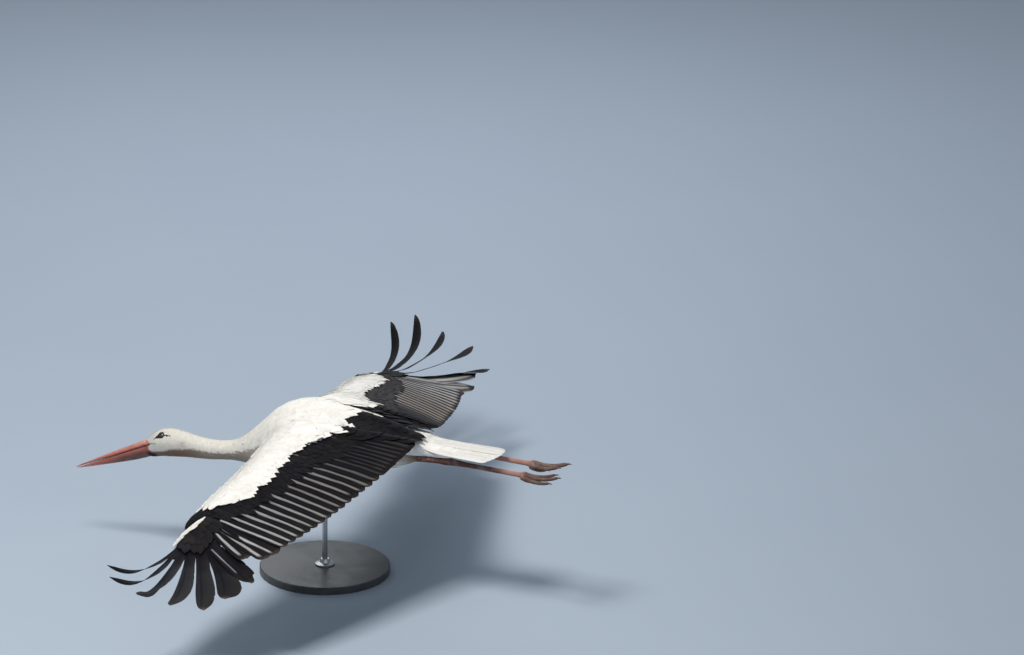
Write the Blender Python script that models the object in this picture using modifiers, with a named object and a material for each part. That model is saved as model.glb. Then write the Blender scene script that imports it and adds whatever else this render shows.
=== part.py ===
"""A life-size white stork gliding on a plain display stand.

Metres, +Z up, and the bird faces -Y. The origin is the middle of the base's underside.
Bird coordinates are measured from the bill's tip: x to the bird's left, y towards its tail
and z up. Pieces that exist on both sides are built on the left and mirrored.
"""

import math

import bmesh
import bpy
from mathutils import Matrix, Vector

# ---------------------------------------------------------------- driving dimensions
SEAM = 0.0003  # gap between neighbouring pieces
BILL_TIP = Vector((0.0, -0.62, 0.16))  # the bill's tip, over the base's centre

BASE_RADIUS = 0.15
BASE_HEIGHT = 0.018
ROD_RADIUS = 0.006
ROD_IN_BODY = 0.030
ROD_AFT = 0.62  # how far behind the bill's tip the rod stands

BILL_PITCH = math.radians(23.5)  # the bill points this far below the horizontal
BILL_LENGTH = 0.191
BILL_BASE_HALF_DEPTH = 0.0165
BILL_BASE_HALF_WIDTH = 0.0125
BILL_TIP_HALF = 0.0012
GAPE_GAP = 0.0007  # dark line between the mandibles
EYE_RADIUS = 0.0070
EYE_PLACE = Vector((0.0184, 0.2180, 0.1165))

# Head: distance aft, height of the middle, tilt of the section, half width, half height.
HEAD = (
    (0.1765, 0.0745, 23.5, 0.0130, 0.0170),
    (0.1900, 0.0830, 23.0, 0.0185, 0.0225),
    (0.2120, 0.0950, 19.0, 0.0243, 0.0290),
    (0.2380, 0.1010, 10.0, 0.0268, 0.0315),
    (0.2620, 0.1015, 3.0, 0.0255, 0.0290),
    (0.2850, 0.1000, 0.0, 0.0232, 0.0252),
)
# Neck, trunk and root of the tail: distance aft, height of the middle, half width, half height.
AXIS = (
    (0.2850, 0.1000, 0.0232, 0.0252),
    (0.3400, 0.0980, 0.0208, 0.0222),
    (0.4000, 0.1065, 0.0240, 0.0255),
    (0.4550, 0.1270, 0.0400, 0.0500),
    (0.5100, 0.1530, 0.0640, 0.0790),
    (0.5800, 0.1700, 0.0800, 0.0900),
    (0.6600, 0.1730, 0.0800, 0.0850),
    (0.7400, 0.1790, 0.0700, 0.0670),
    (0.8000, 0.1880, 0.0580, 0.0430),
    (0.8450, 0.1950, 0.0490, 0.0235),
    (0.8800, 0.1975, 0.0460, 0.0150),
)
NECK_FROM, NECK_PARTING, TRUNK_FROM, TAIL_FROM = 0.285, 0.360, 0.450, 0.880
BODY_SIDES, TRUNK_RINGS = 20, 18

TAIL_TO = 1.067
TAIL_HALF_WIDTH = 0.053
TAIL_ROUNDING = 0.030  # how far the outermost feathers stop short of the middle ones
TAIL_FEATHERS = 12

# Wing: leading edge (x, y, z), trailing edge (x, y, z), camber and half thickness, at each
# station from the shoulder to the outer end of the hand.
SHOULDER, ELBOW, WRIST, HAND_END = 0.0, 1.2, 4.0, 6.0
WING = (
    (0.0, (0.085, 0.530, 0.199), (0.046, 0.884, 0.214), 0.026, 0.0175),
    (1.2, (0.215, 0.521, 0.171), (0.145, 0.850, 0.175), 0.028, 0.0130),
    (2.2, (0.320, 0.521, 0.163), (0.275, 0.814, 0.142), 0.023, 0.0098),
    (3.1, (0.405, 0.505, 0.145), (0.390, 0.784, 0.121), 0.018, 0.0083),
    (4.0, (0.470, 0.494, 0.123), (0.522, 0.743, 0.101), 0.013, 0.0073),
    (5.0, (0.555, 0.497, 0.095), (0.580, 0.720, 0.089), 0.009, 0.0060),
    (6.0, (0.640, 0.493, 0.083), (0.606, 0.668, 0.075), 0.004, 0.0030),
)
CAMBER_AT = 0.34  # share of the chord where the camber is highest
FLESH_TO = 0.56  # share of the chord where the arm has thinned to bare vanes
ARM_TO = 0.46  # share of the chord where the arm's piece ends
HAND_TO = 0.36
VANE_HALF = 0.00045  # half thickness of a vane at its edge
SECONDARIES, TERTIALS, INNER_PRIMARIES = 15, 4, 3
SCALLOP = 0.010  # how far the notch between two feather tips goes in

# Fingers, the outer primaries: which one, share of the hand's end where it starts, width at
# the root and at the widest, heading in degrees aft of straight out, straight length, droop,
# forward curl, upward curl, roll in degrees.
FINGERS = (
    (10, 0.020, 0.012, 0.024, -10.6, 0.187, 0.001, 0.031, 0.045, -42.0),
    (9, 0.100, 0.015, 0.029, -1.6, 0.250, 0.017, 0.039, 0.060, -38.0),
    (8, 0.215, 0.020, 0.035, 6.9, 0.256, 0.018, 0.028, 0.030, -24.0),
    (7, 0.345, 0.023, 0.040, 19.1, 0.264, 0.022, 0.032, 0.013, -10.0),
    (6, 0.510, 0.028, 0.046, 27.0, 0.233, 0.028, 0.017, 0.000, -4.0),
    (5, 0.690, 0.030, 0.050, 37.6, 0.157, 0.029, 0.033, 0.000, 0.0),
    (4, 0.870, 0.029, 0.046, 62.0, 0.088, 0.017, 0.018, 0.000, 0.0),
)
CURL_POWER = 4

# Leg: thigh, shank, ankle, tarsus and foot, on the left side.
HIP = Vector((0.036, 0.745, 0.140))
FEATHERS_END = Vector((0.034, 0.856, 0.1680))
ANKLE = Vector((0.032, 0.936, 0.1730))
FOOT = Vector((0.026, 1.120, 0.1650))
THIGH_RADIUS, SHANK_RADIUS, ANKLE_RADIUS, TARSUS_RADIUS = 0.030, 0.0068, 0.0100, 0.0056
RIGHT_LIFT = math.radians(2.0)  # the right leg is held this much higher than the left
# Toes: name, start offset from the foot, end offset, dip, radius at the root.
TOES = (
    ("inner", (-0.0080, 0.006, 0.0010), (-0.018, 0.076, 0.0050), -0.006, 0.0048),
    ("middle", (0.0010, 0.010, 0.0015), (0.004, 0.092, 0.0080), -0.007, 0.0052),
    ("outer", (0.0100, 0.006, 0.0005), (0.024, 0.078, 0.0000), -0.006, 0.0048),
    ("hind", (-0.0010, 0.000, -0.0075), (-0.002, 0.040, -0.0110), -0.004, 0.0040),
)
CLAW_LENGTH, CLAW_DROP = 0.012, 0.003

WHITE = (0.86, 0.85, 0.82)
BLACK = (0.015, 0.015, 0.018)
BILL_RED = (0.60, 0.13, 0.08)
LEG_RED = (0.48, 0.14, 0.09)
CLAW_BROWN = (0.08, 0.05, 0.04)
EYE_DARK = (0.02, 0.015, 0.012)
STAND_GREY = (0.55, 0.54, 0.52)
STEEL = (0.60, 0.60, 0.60)


# ---------------------------------------------------------------- scene and meshes
def clear_scene():
    for old in list(bpy.data.objects):
        bpy.data.objects.remove(old)


def new_collection(name):
    made = bpy.data.collections.new(name)
    bpy.context.scene.collection.children.link(made)
    return made


def finish_of(name, colour, roughness, metallic=0.0):
    material = bpy.data.materials.new(name)
    material.use_nodes = True
    shader = material.node_tree.nodes["Principled BSDF"]
    shader.inputs["Base Color"].default_value = (*colour, 1.0)
    shader.inputs["Roughness"].default_value = roughness
    shader.inputs["Metallic"].default_value = metallic
    return material


def loft(name, rings, material, parent=None):
    """A closed object whose sides run through rings of equally many points."""
    bm = bmesh.new()
    rows = [[bm.verts.new(point) for point in ring] for ring in rings]
    for row, after in zip(rows, rows[1:]):
        for i in range(len(row)):
            j = (i + 1) % len(row)
            bm.faces.new((row[i], row[j], after[j], after[i]))
    bm.faces.new(rows[0][::-1])
    bm.faces.new(rows[-1])
    bmesh.ops.triangulate(bm, faces=bm.faces[:])
    bmesh.ops.recalc_face_normals(bm, faces=bm.faces[:])
    mesh = bpy.data.meshes.new(name)
    bm.to_mesh(mesh)
    bm.free()
    return place(name, mesh, material, parent)


def place(name, mesh, material, parent=None, smooth_angle=40.0):
    mesh.materials.clear()
    mesh.materials.append(material)
    mesh.shade_smooth()
    mesh.set_sharp_from_angle(angle=math.radians(smooth_angle))
    made = bpy.data.objects.new(name, mesh)
    stork.objects.link(made)
    made.parent = parent
    return made


def mirrored(piece, name, lift=0.0):
    """The same piece on the bird's right; lift swings it up about the end of the thigh."""
    mesh = piece.data.copy()
    bm = bmesh.new()
    bm.from_mesh(mesh)
    for vertex in bm.verts:
        vertex.co.x = -vertex.co.x
    bmesh.ops.reverse_faces(bm, faces=bm.faces[:])
    turn = Matrix.Rotation(lift, 3, "X")
    bmesh.ops.rotate(bm, verts=bm.verts[:], cent=FEATHERS_END, matrix=turn)
    bm.to_mesh(mesh)
    bm.free()
    return place(name, mesh, piece.data.materials[0], piece.parent)


def both_sides(name, rings, material, lift=0.0):
    left = loft(f"{name}_left", rings, material, bird)
    mirrored(left, f"{name}_right", lift)


def boolean(piece, cutter, operation):
    modifier = piece.modifiers.new(f"{operation.lower()}_{cutter.name}", "BOOLEAN")
    modifier.operation = operation
    modifier.object = cutter
    modifier.solver = "EXACT"
    stork.objects.unlink(cutter)
    cutters.objects.link(cutter)
    cutter.hide_render = True
    cutter.display_type = "WIRE"


# ---------------------------------------------------------------- curves and sections
def blend(low, high, share):
    if isinstance(low, tuple):
        return tuple(blend(a, b, share) for a, b in zip(low, high))
    return low + (high - low) * share


def smooth_stations(stations, at):
    """The stations' values at a place along the first column, on a smooth curve."""
    last = len(stations) - 2
    i = max(0, min(last, sum(at > row[0] for row in stations[1:])))
    a, b = stations[i], stations[i + 1]
    before, after = stations[max(i - 1, 0)], stations[min(i + 2, last + 1)]
    span = b[0] - a[0]
    t = (at - a[0]) / span

    def through(k0, k1, k2, k3):
        if isinstance(k1, tuple):
            return Vector([through(*four) for four in zip(k0, k1, k2, k3)])
        slope_a = (k2 - k0) / max(b[0] - before[0], 1e-9) * span
        slope_b = (k3 - k1) / max(after[0] - a[0], 1e-9) * span
        return (
            (2 * t**3 - 3 * t**2 + 1) * k1
            + (t**3 - 2 * t**2 + t) * slope_a
            + (3 * t**2 - 2 * t**3) * k2
            + (t**3 - t**2) * slope_b
        )

    return [through(*four) for four in zip(before[1:], a[1:], b[1:], after[1:])]


def spread(start, end, count):
    """Evenly spaced values from start to end, both included."""
    return [start + (end - start) * i / (count - 1) for i in range(count)]


def oval(centre, half_width, half_height, tilt=0.0, sides=BODY_SIDES):
    """A ring across the bird's axis, tilted forward by an angle in radians."""
    ring = []
    for i in range(sides):
        turn = 2 * math.pi * (i + 0.5) / sides
        x = half_width * math.cos(turn)
        up = half_height * math.sin(turn)
        ring.append(
            Vector(
                (
                    centre[0] + x,
                    centre[1] - up * math.sin(tilt),
                    centre[2] + up * math.cos(tilt),
                )
            )
        )
    return ring


def axis_ring(aft, grown=0.0):
    height, half_width, half_height = smooth_stations(AXIS, aft)
    return oval((0.0, aft, height), half_width + grown, half_height + grown)


def trunk_rings(grown=0.0):
    places = spread(TRUNK_FROM, TAIL_FROM - SEAM, TRUNK_RINGS)
    return [axis_ring(aft, grown) for aft in places]


def tube(points, radii, sides=8, flatten=1.0, end=None):
    """Rings of a round piece along points; flatten narrows it, and end faces the last one."""
    rings = []
    for i, point in enumerate(points):
        along = (points[min(i + 1, len(points) - 1)] - points[max(i - 1, 0)]).normalized()
        if end and i == len(points) - 1:
            along = end
        across = along.cross(Vector((0.0, 0.0, 1.0))).normalized()
        over = across.cross(along)
        rings.append(
            [
                point
                + across * radii[i] * flatten * math.cos(turn)
                + over * radii[i] * math.sin(turn)
                for turn in (2 * math.pi * k / sides for k in range(sides))
            ]
        )
    return rings


# ---------------------------------------------------------------- head and bill
def bill_point(along, side, over):
    """A point of the bill: along it from the tip, to the left of it and above its mid line."""
    forward = Vector((0.0, math.cos(BILL_PITCH), math.sin(BILL_PITCH)))
    upward = Vector((0.0, -math.sin(BILL_PITCH), math.cos(BILL_PITCH)))
    return forward * along + Vector((side, 0.0, 0.0)) + upward * over


def bill_rings(upper):
    """Half sections of one mandible, from its root to its tip."""
    half_turn = 8
    rings = []
    for share in (1.0, 0.85, 0.65, 0.45, 0.27, 0.13, 0.045, 0.0):
        grow = share**0.86
        depth = BILL_TIP_HALF + (BILL_BASE_HALF_DEPTH - BILL_TIP_HALF) * grow
        width = BILL_TIP_HALF * 0.8 + (BILL_BASE_HALF_WIDTH - BILL_TIP_HALF) * grow
        side = 1.0 if upper else -0.94
        rings.append(
            [
                bill_point(
                    blend(0.0 if upper else 0.003, BILL_LENGTH, share),
                    width * math.cos(math.pi * k / half_turn),
                    side * (GAPE_GAP + depth * math.sin(math.pi * k / half_turn)),
                )
                for k in range(half_turn + 1)
            ]
        )
    return rings


def make_head():
    rings = []
    for aft in spread(HEAD[0][0], HEAD[-1][0] - SEAM, 11):
        height, tilt, half_width, half_height = smooth_stations(HEAD, aft)
        rings.append(
            oval((0.0, aft, height), half_width, half_height, math.radians(tilt))
        )
    head = loft("head", rings, white_feathers, bird)
    for side, name in ((1, "left"), (-1, "right")):
        place_eye(Vector((side * EYE_PLACE.x, EYE_PLACE.y, EYE_PLACE.z)), name, head)


def ball(name, radius, centre, material, segments, rings):
    bm = bmesh.new()
    bmesh.ops.create_uvsphere(bm, u_segments=segments, v_segments=rings, radius=radius)
    bmesh.ops.translate(bm, verts=bm.verts[:], vec=centre)
    mesh = bpy.data.meshes.new(name)
    bm.to_mesh(mesh)
    bm.free()
    return place(name, mesh, material, bird)


def place_eye(centre, name, head):
    ball(f"eye_{name}", EYE_RADIUS, centre, eye_gloss, 12, 8)
    socket = ball(f"socket_{name}", EYE_RADIUS + 2 * SEAM, centre, eye_gloss, 12, 8)
    boolean(head, socket, "DIFFERENCE")


def make_bill():
    loft("bill_upper", bill_rings(True), bill_horn, bird)
    loft("bill_lower", bill_rings(False), bill_horn, bird)


# ---------------------------------------------------------------- neck, trunk and tail
def make_neck():
    for name, start, end, count in (
        ("neck_upper", NECK_FROM, NECK_PARTING, 6),
        ("neck_lower", NECK_PARTING, TRUNK_FROM, 7),
    ):
        rings = [axis_ring(aft) for aft in spread(start, end - SEAM, count)]
        loft(name, rings, white_feathers, bird)


def make_trunk():
    trunk = loft("trunk", trunk_rings(), white_feathers, bird)
    for side in (1, -1):
        root = wing_section(SHOULDER, 0.0, ARM_TO)
        inner = [Vector((0.02, p.y, p.z)) for p in root]
        outer = [Vector((p.x - SEAM, p.y, p.z)) for p in root]
        for ring in (inner, outer):
            for point in ring:
                point.x *= side
        stub = loft(f"shoulder_{side}", [inner, outer], white_feathers, bird)
        boolean(trunk, stub, "UNION")
    socket = upright("rod_socket", ROD_RADIUS + SEAM, -0.1, ROD_IN_BODY + SEAM, white_feathers)
    boolean(trunk, socket, "DIFFERENCE")
    return trunk


def make_tail():
    """A closed fan, arched across, with the feathers' round ends in its outline."""
    top, under = [], []
    columns = TAIL_FEATHERS * 2
    for i in range(columns + 1):
        across = 2 * i / columns - 1
        notch = 0.0 if i % 2 else 0.006
        reach = TAIL_TO - TAIL_ROUNDING * across**2 - notch
        arch = -0.004 * across**2
        line_top, line_under = [], []
        for share in (0.0, 0.45, 0.8, 1.0):
            aft = TAIL_FROM + (reach - TAIL_FROM) * share
            half_width = blend(0.044, TAIL_HALF_WIDTH, min(1.0, share * 1.6) ** 0.8)
            half = blend(0.0085, 0.0006, share**0.6) * (1.0 - 0.55 * across**2) + 0.0003
            middle = blend(0.1955, 0.1990, share) + arch * blend(0.6, 1.0, share)
            line_top.append(Vector((across * half_width, aft, middle + half)))
            line_under.append(Vector((across * half_width, aft, middle - half)))
        top.append(line_top)
        under.append(line_under)
    sheet("tail", top, under, white_feathers)


def sheet(name, top, under, material):
    """A closed plate between two grids of points of the same size."""
    bm = bmesh.new()
    upper = [[bm.verts.new(p) for p in line] for line in top]
    lower = [[bm.verts.new(p) for p in line] for line in under]
    last, end = len(upper) - 1, len(upper[0]) - 1
    for i in range(last):
        for j in range(end):
            bm.faces.new((upper[i][j], upper[i][j + 1], upper[i + 1][j + 1], upper[i + 1][j]))
            bm.faces.new((lower[i][j], lower[i + 1][j], lower[i + 1][j + 1], lower[i][j + 1]))
        bm.faces.new((upper[i][0], upper[i + 1][0], lower[i + 1][0], lower[i][0]))
        bm.faces.new((upper[i][end], lower[i][end], lower[i + 1][end], upper[i + 1][end]))
    for j in range(end):
        bm.faces.new((upper[0][j], lower[0][j], lower[0][j + 1], upper[0][j + 1]))
        bm.faces.new((upper[last][j], upper[last][j + 1], lower[last][j + 1], lower[last][j]))
    bmesh.ops.triangulate(bm, faces=bm.faces[:])
    bmesh.ops.recalc_face_normals(bm, faces=bm.faces[:])
    mesh = bpy.data.meshes.new(name)
    bm.to_mesh(mesh)
    bm.free()
    return place(name, mesh, material, bird)


# ---------------------------------------------------------------- wings
def camber_share(u):
    if u < CAMBER_AT:
        return (2 * CAMBER_AT * u - u * u) / CAMBER_AT**2
    return (1 - 2 * CAMBER_AT + 2 * CAMBER_AT * u - u * u) / (1 - CAMBER_AT) ** 2


def flesh_share(u):
    """Half thickness over its greatest value: a round nose that thins to bare vanes."""
    return 3.9 * math.sqrt(u) * (1 - u / FLESH_TO) ** 1.3 if u < FLESH_TO else 0.0


def wing_point(station, u, face):
    """A point of the wing: face is 1 above, -1 below and 0 on the middle surface."""
    lead, trail, camber, flesh = smooth_stations(WING, station)
    point = lead + (trail - lead) * u
    half = flesh * flesh_share(u) + VANE_HALF * (1.0 + 1.5 * (1.0 - u))
    return point + Vector((0.0, 0.0, camber * camber_share(u) + face * half))


def wing_section(station, start, end, count=8):
    """A ring over the wing and back under it, from one share of the chord to another."""
    over = [start + (end - start) * (k / (count - 1)) ** 1.7 for k in range(count)]
    top = [wing_point(station, u, 1) for u in over]
    bottom = [wing_point(station, u, -1) for u in over]
    return top + bottom[::-1]


def make_wing():
    along_arm = spread(SHOULDER, WRIST, 10)
    along_hand = spread(WRIST, HAND_END, 7)
    arm = [wing_section(s, 0.0, ARM_TO) for s in along_arm]
    arm = clear_ends(arm, 0.0, SEAM)
    both_sides("wing_arm", arm, white_feathers)
    hand = [wing_section(s, 0.0, HAND_TO, 6) for s in along_hand]
    both_sides("wing_hand", clear_ends(hand, SEAM, SEAM), black_feathers)


def clear_ends(rings, first, last):
    """Draws the end rings in along the span, to leave a gap to the next piece."""
    rings[0] = [p + (q - p).normalized() * first for p, q in zip(rings[0], rings[1])]
    rings[-1] = [p + (q - p).normalized() * last for p, q in zip(rings[-1], rings[-2])]
    return rings


def vane_plate(name, start, end, feathers, front, steps):
    """A plate of closed flight feathers with scalloped tips, on both sides of the bird."""
    top, under = [], []
    columns = feathers * 2
    for i in range(columns + 1):
        station = start + (end - start) * i / columns
        lead, trail = smooth_stations(WING, station)[:2]
        chord = (trail - lead).length
        notch = 0.0 if i % 2 else SCALLOP / chord
        first = front + SEAM * 2 / chord
        line = [first + (1.0 - notch - first) * k / steps for k in range(steps + 1)]
        inset = SEAM if i in (0, columns) else 0.0
        sideways = Vector((inset if i == 0 else -inset, 0.0, 0.0))
        top.append([wing_point(station, u, 1) + sideways for u in line])
        under.append([wing_point(station, u, -1) + sideways for u in line])
    left = sheet(f"{name}_left", top, under, black_feathers)
    mirrored(left, f"{name}_right")


def make_finger(row):
    number, start, root_width, width, heading, length, droop, forward, curl, roll = row
    lead, trail = smooth_stations(WING, HAND_END)[:2]
    root = lead + (trail - lead) * start
    root.z += 0.003 * camber_share(start)
    out = Vector((math.cos(math.radians(heading)), math.sin(math.radians(heading)), 0.0))
    hand_edge = (trail - lead).normalized()
    spine = []
    shares = (0.0, 0.15, 0.32, 0.5, 0.66, 0.8, 0.91, 0.975, 1.0)
    for t in shares:
        bend = t**CURL_POWER
        spine.append(
            root
            + out * (SEAM * 2 + length * t)
            + Vector((0.0, -forward * bend, curl * bend - droop * t))
        )
    rings = []
    for i, (t, point) in enumerate(zip(shares, spine)):
        along = (spine[min(i + 1, len(spine) - 1)] - spine[max(i - 1, 0)]).normalized()
        turn = math.radians(roll) * min(1.0, t * 1.8)
        level = along.cross(Vector((0.0, 0.0, 1.0))).normalized()
        level = (-hand_edge).lerp(level, min(1.0, t * 3.0)).normalized()
        up = level.cross(along).normalized()
        across = level * math.cos(turn) + up * math.sin(turn)
        up = across.cross(along).normalized()
        half = blend(root_width, width, min(1.0, t / 0.55)) / 2
        half *= 1.0 if t < 0.6 else math.sqrt(max(0.02, 1 - ((t - 0.6) / 0.405) ** 2.4))
        rib = 0.0013 * (1 - 0.65 * t)
        rings.append(
            [
                point + across * half + up * VANE_HALF * 0.7,
                point + up * rib,
                point - across * half + up * VANE_HALF * 0.7,
                point - across * half - up * VANE_HALF * 0.7,
                point - up * rib,
                point + across * half - up * VANE_HALF * 0.7,
            ]
        )
    both_sides(f"primary_{number:02d}", rings, black_feathers)


def make_flight_feathers():
    vane_plate("secondaries", ELBOW, WRIST, SECONDARIES, ARM_TO, 3)
    vane_plate("tertials", SHOULDER, ELBOW, TERTIALS, ARM_TO, 3)
    vane_plate("primaries_inner", WRIST, HAND_END, INNER_PRIMARIES, HAND_TO, 3)
    for row in FINGERS:
        make_finger(row)


# ---------------------------------------------------------------- legs
def make_leg(trunk):
    thigh_line = spread(0.0, 1.0, 8)
    points = [HIP.lerp(FEATHERS_END, t) for t in thigh_line]
    radii = [blend(THIGH_RADIUS, 0.0095, t**0.9) for t in thigh_line]
    down = (ANKLE - FEATHERS_END).normalized()
    left = loft("thigh_left", tube(points, radii, 12, 0.9, down), white_feathers, bird)
    right = mirrored(left, "thigh_right")
    for thigh in (left, right):
        swollen = trunk_grown(f"trunk_grown_{thigh.name}")
        boolean(thigh, swollen, "DIFFERENCE")

    shank_ends = FEATHERS_END.lerp(ANKLE, 0.78)
    shank = [FEATHERS_END + down * 2 * SEAM, FEATHERS_END.lerp(ANKLE, 0.4), shank_ends]
    thickness = [SHANK_RADIUS * 1.05, SHANK_RADIUS, SHANK_RADIUS * 1.1]
    both_sides("shank", tube(shank, thickness), leg_scales, RIGHT_LIFT)

    tarsus = [shank_ends + down * SEAM, ANKLE] + [ANKLE.lerp(FOOT, t) for t in (0.10, 0.3, 0.7, 0.95, 1.0)]
    thickness = [SHANK_RADIUS * 1.1, ANKLE_RADIUS, ANKLE_RADIUS * 0.8]
    thickness += [TARSUS_RADIUS] * 3 + [TARSUS_RADIUS * 1.2]
    both_sides("tarsus", tube(tarsus, thickness), leg_scales, RIGHT_LIFT)
    make_foot()


def trunk_grown(name):
    """The trunk a seam larger, for cutting what lies against it."""
    rings = trunk_rings(2 * SEAM)
    return loft(name, rings, white_feathers, bird)


def make_foot():
    pad = ball("foot_left", 0.0098, FOOT + Vector((0.0, 0.0085, -0.0012)), leg_scales, 10, 6)
    forward = (FOOT - ANKLE).normalized()
    for name, start, end, dip, radius in TOES:
        first, last = FOOT + Vector(start), FOOT + Vector(end)
        along_toe = spread(0.0, 1.0, 7)
        sag = Vector((0.0, 0.0, 4 * dip))
        points = [first.lerp(last, t) + sag * t * (1 - t) for t in along_toe]
        radii = [radius * (1 - 0.42 * t) for t in along_toe]
        toe = loft(f"toe_{name}", tube(points, radii, 6), leg_scales, bird)
        boolean(pad, toe, "UNION")
        tip = (points[-1] - points[-2]).normalized()
        claw_from = points[-1] + tip * SEAM
        bend = Vector((0.0, 0.0, -CLAW_DROP))
        claw = [claw_from + tip * CLAW_LENGTH * t + bend * t * t for t in (0.0, 0.5, 1.0)]
        claw_radii = [radii[-1] * 0.8, radii[-1] * 0.55, 0.0006]
        both_sides(f"claw_{name}", tube(claw, claw_radii, 6), claw_horn, RIGHT_LIFT)
    cut = FOOT + forward * SEAM
    shave = loft(
        "foot_cut",
        tube([cut - forward * 0.03, cut], [0.03, 0.03]),
        leg_scales,
        bird,
    )
    boolean(pad, shave, "DIFFERENCE")
    mirrored(realised(pad), "foot_right", RIGHT_LIFT)


def realised(piece):
    """The piece with its modifiers applied to its own mesh."""
    graph = bpy.context.evaluated_depsgraph_get()
    mesh = bpy.data.meshes.new_from_object(piece.evaluated_get(graph))
    piece.modifiers.clear()
    piece.data = mesh
    return piece


# ---------------------------------------------------------------- stand
def upright(name, radius, bottom, top, material, sides=24):
    """A vertical round bar under the body; bottom and top are heights over the belly."""
    height, _, half_height = smooth_stations(AXIS, ROD_AFT)
    belly = Vector((0.0, ROD_AFT, height - half_height))
    bm = bmesh.new()
    length = top - bottom
    bmesh.ops.create_cone(
        bm, cap_ends=True, segments=sides, radius1=radius, radius2=radius, depth=length
    )
    bmesh.ops.translate(bm, verts=bm.verts[:], vec=belly + Vector((0, 0, (top + bottom) / 2)))
    mesh = bpy.data.meshes.new(name)
    bm.to_mesh(mesh)
    bm.free()
    return place(name, mesh, material, bird)


def turned(name, profile, material, steps=40):
    """A solid of revolution about the vertical through the origin, from (radius, height) pairs."""
    mesh = bpy.data.meshes.new(name)
    points = [(radius, 0.0, height) for radius, height in profile]
    mesh.from_pydata(points, [(i, i + 1) for i in range(len(points) - 1)], [])
    made = place(name, mesh, material)
    screw = made.modifiers.new("turn", "SCREW")
    screw.steps = screw.render_steps = steps
    screw.use_merge_vertices = True
    screw.merge_threshold = 0.00005
    return made


def make_stand():
    height, _, half_height = smooth_stations(AXIS, ROD_AFT)
    belly = BILL_TIP.z + height - half_height
    bottom = BASE_HEIGHT + SEAM - belly
    upright("stand_rod", ROD_RADIUS, bottom, ROD_IN_BODY, steel)
    edge = 0.002
    turned(
        "stand_base",
        (
            (0.0, BASE_HEIGHT),
            (BASE_RADIUS - edge, BASE_HEIGHT),
            (BASE_RADIUS, BASE_HEIGHT - edge),
            (BASE_RADIUS, edge / 2),
            (BASE_RADIUS - edge / 2, 0.0),
            (0.0, 0.0),
        ),
        stand_paint,
        40,
    )
    inner = ROD_RADIUS + SEAM
    low = BASE_HEIGHT + SEAM
    turned(
        "stand_collar",
        (
            (inner, low + 0.014),
            (inner + 0.003, low + 0.014),
            (inner + 0.006, low + 0.006),
            (inner + 0.016, low + 0.003),
            (inner + 0.016, low),
            (inner, low),
            (inner, low + 0.014),
        ),
        steel,
        20,
    )


# ---------------------------------------------------------------- build
clear_scene()
stork = new_collection("stork")
cutters = new_collection("cutters")
bird = bpy.data.objects.new("bird", None)
bird.location = BILL_TIP
stork.objects.link(bird)

white_feathers = finish_of("white_feathers", WHITE, 0.85)
black_feathers = finish_of("black_feathers", BLACK, 0.55)
bill_horn = finish_of("bill_horn", BILL_RED, 0.45)
leg_scales = finish_of("leg_scales", LEG_RED, 0.6)
claw_horn = finish_of("claw_horn", CLAW_BROWN, 0.4)
eye_gloss = finish_of("eye_gloss", EYE_DARK, 0.05)
stand_paint = finish_of("stand_paint", STAND_GREY, 0.5)
steel = finish_of("steel", STEEL, 0.3, 1.0)

make_head()
make_bill()
make_neck()
body = make_trunk()
make_tail()
make_wing()
make_flight_feathers()
make_leg(body)
make_stand()
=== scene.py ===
import math

import bpy
import numpy as np
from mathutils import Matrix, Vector
from mathutils.bvhtree import BVHTree


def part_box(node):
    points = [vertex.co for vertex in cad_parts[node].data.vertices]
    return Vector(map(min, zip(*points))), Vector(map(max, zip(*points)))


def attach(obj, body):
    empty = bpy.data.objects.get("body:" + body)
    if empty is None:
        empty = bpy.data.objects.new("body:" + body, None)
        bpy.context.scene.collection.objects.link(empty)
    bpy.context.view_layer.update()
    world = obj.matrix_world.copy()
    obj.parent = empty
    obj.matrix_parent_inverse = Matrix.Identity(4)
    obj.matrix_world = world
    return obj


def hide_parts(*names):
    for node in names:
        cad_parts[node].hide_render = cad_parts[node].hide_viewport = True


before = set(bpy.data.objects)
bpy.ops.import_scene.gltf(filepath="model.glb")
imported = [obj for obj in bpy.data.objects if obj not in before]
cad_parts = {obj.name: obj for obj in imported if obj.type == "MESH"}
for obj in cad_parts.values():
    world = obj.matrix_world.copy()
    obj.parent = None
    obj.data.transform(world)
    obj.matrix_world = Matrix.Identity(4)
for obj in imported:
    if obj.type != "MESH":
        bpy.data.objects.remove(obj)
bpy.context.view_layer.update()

# Metres, +Z up. The bird faces -Y and its left wing points along +X. "Aft" is a distance behind the
# bill's tip. The left side is measured, and the right side is its mirror image with its own feathers.
SIDES = {"left": 1.0, "right": -1.0}
FLESH = ("head", "neck_upper", "neck_lower", "trunk")
WING_SHEET = ("wing_arm_left", "wing_hand_left", "tertials_left", "secondaries_left", "primaries_inner_left")

# Plumage, skin, bill and legs, linear.
WHITE = np.array((0.845, 0.833, 0.795))
CREAM = np.array((0.80, 0.755, 0.66))
SHADED = (0.60, 0.57, 0.52)
BLACK = (0.0040, 0.0040, 0.0066)
BROWN_BLACK = (0.015, 0.0122, 0.0120)
WORN = (0.105, 0.080, 0.066)
SILVER = (0.47, 0.46, 0.455)
GREY = (0.29, 0.275, 0.26)
# Paler web colours for the right wing: painted sheen.
SHEEN_SILVER = (0.58, 0.565, 0.56)
SHEEN_BEIGE = (0.40, 0.355, 0.315)
# Painted sheen for the right wing's black coverts.
COVERT_SHEEN = (0.085, 0.074, 0.076)
RIM = (0.015, 0.0135, 0.015)
MASK = np.array((0.012, 0.011, 0.013))
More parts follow.
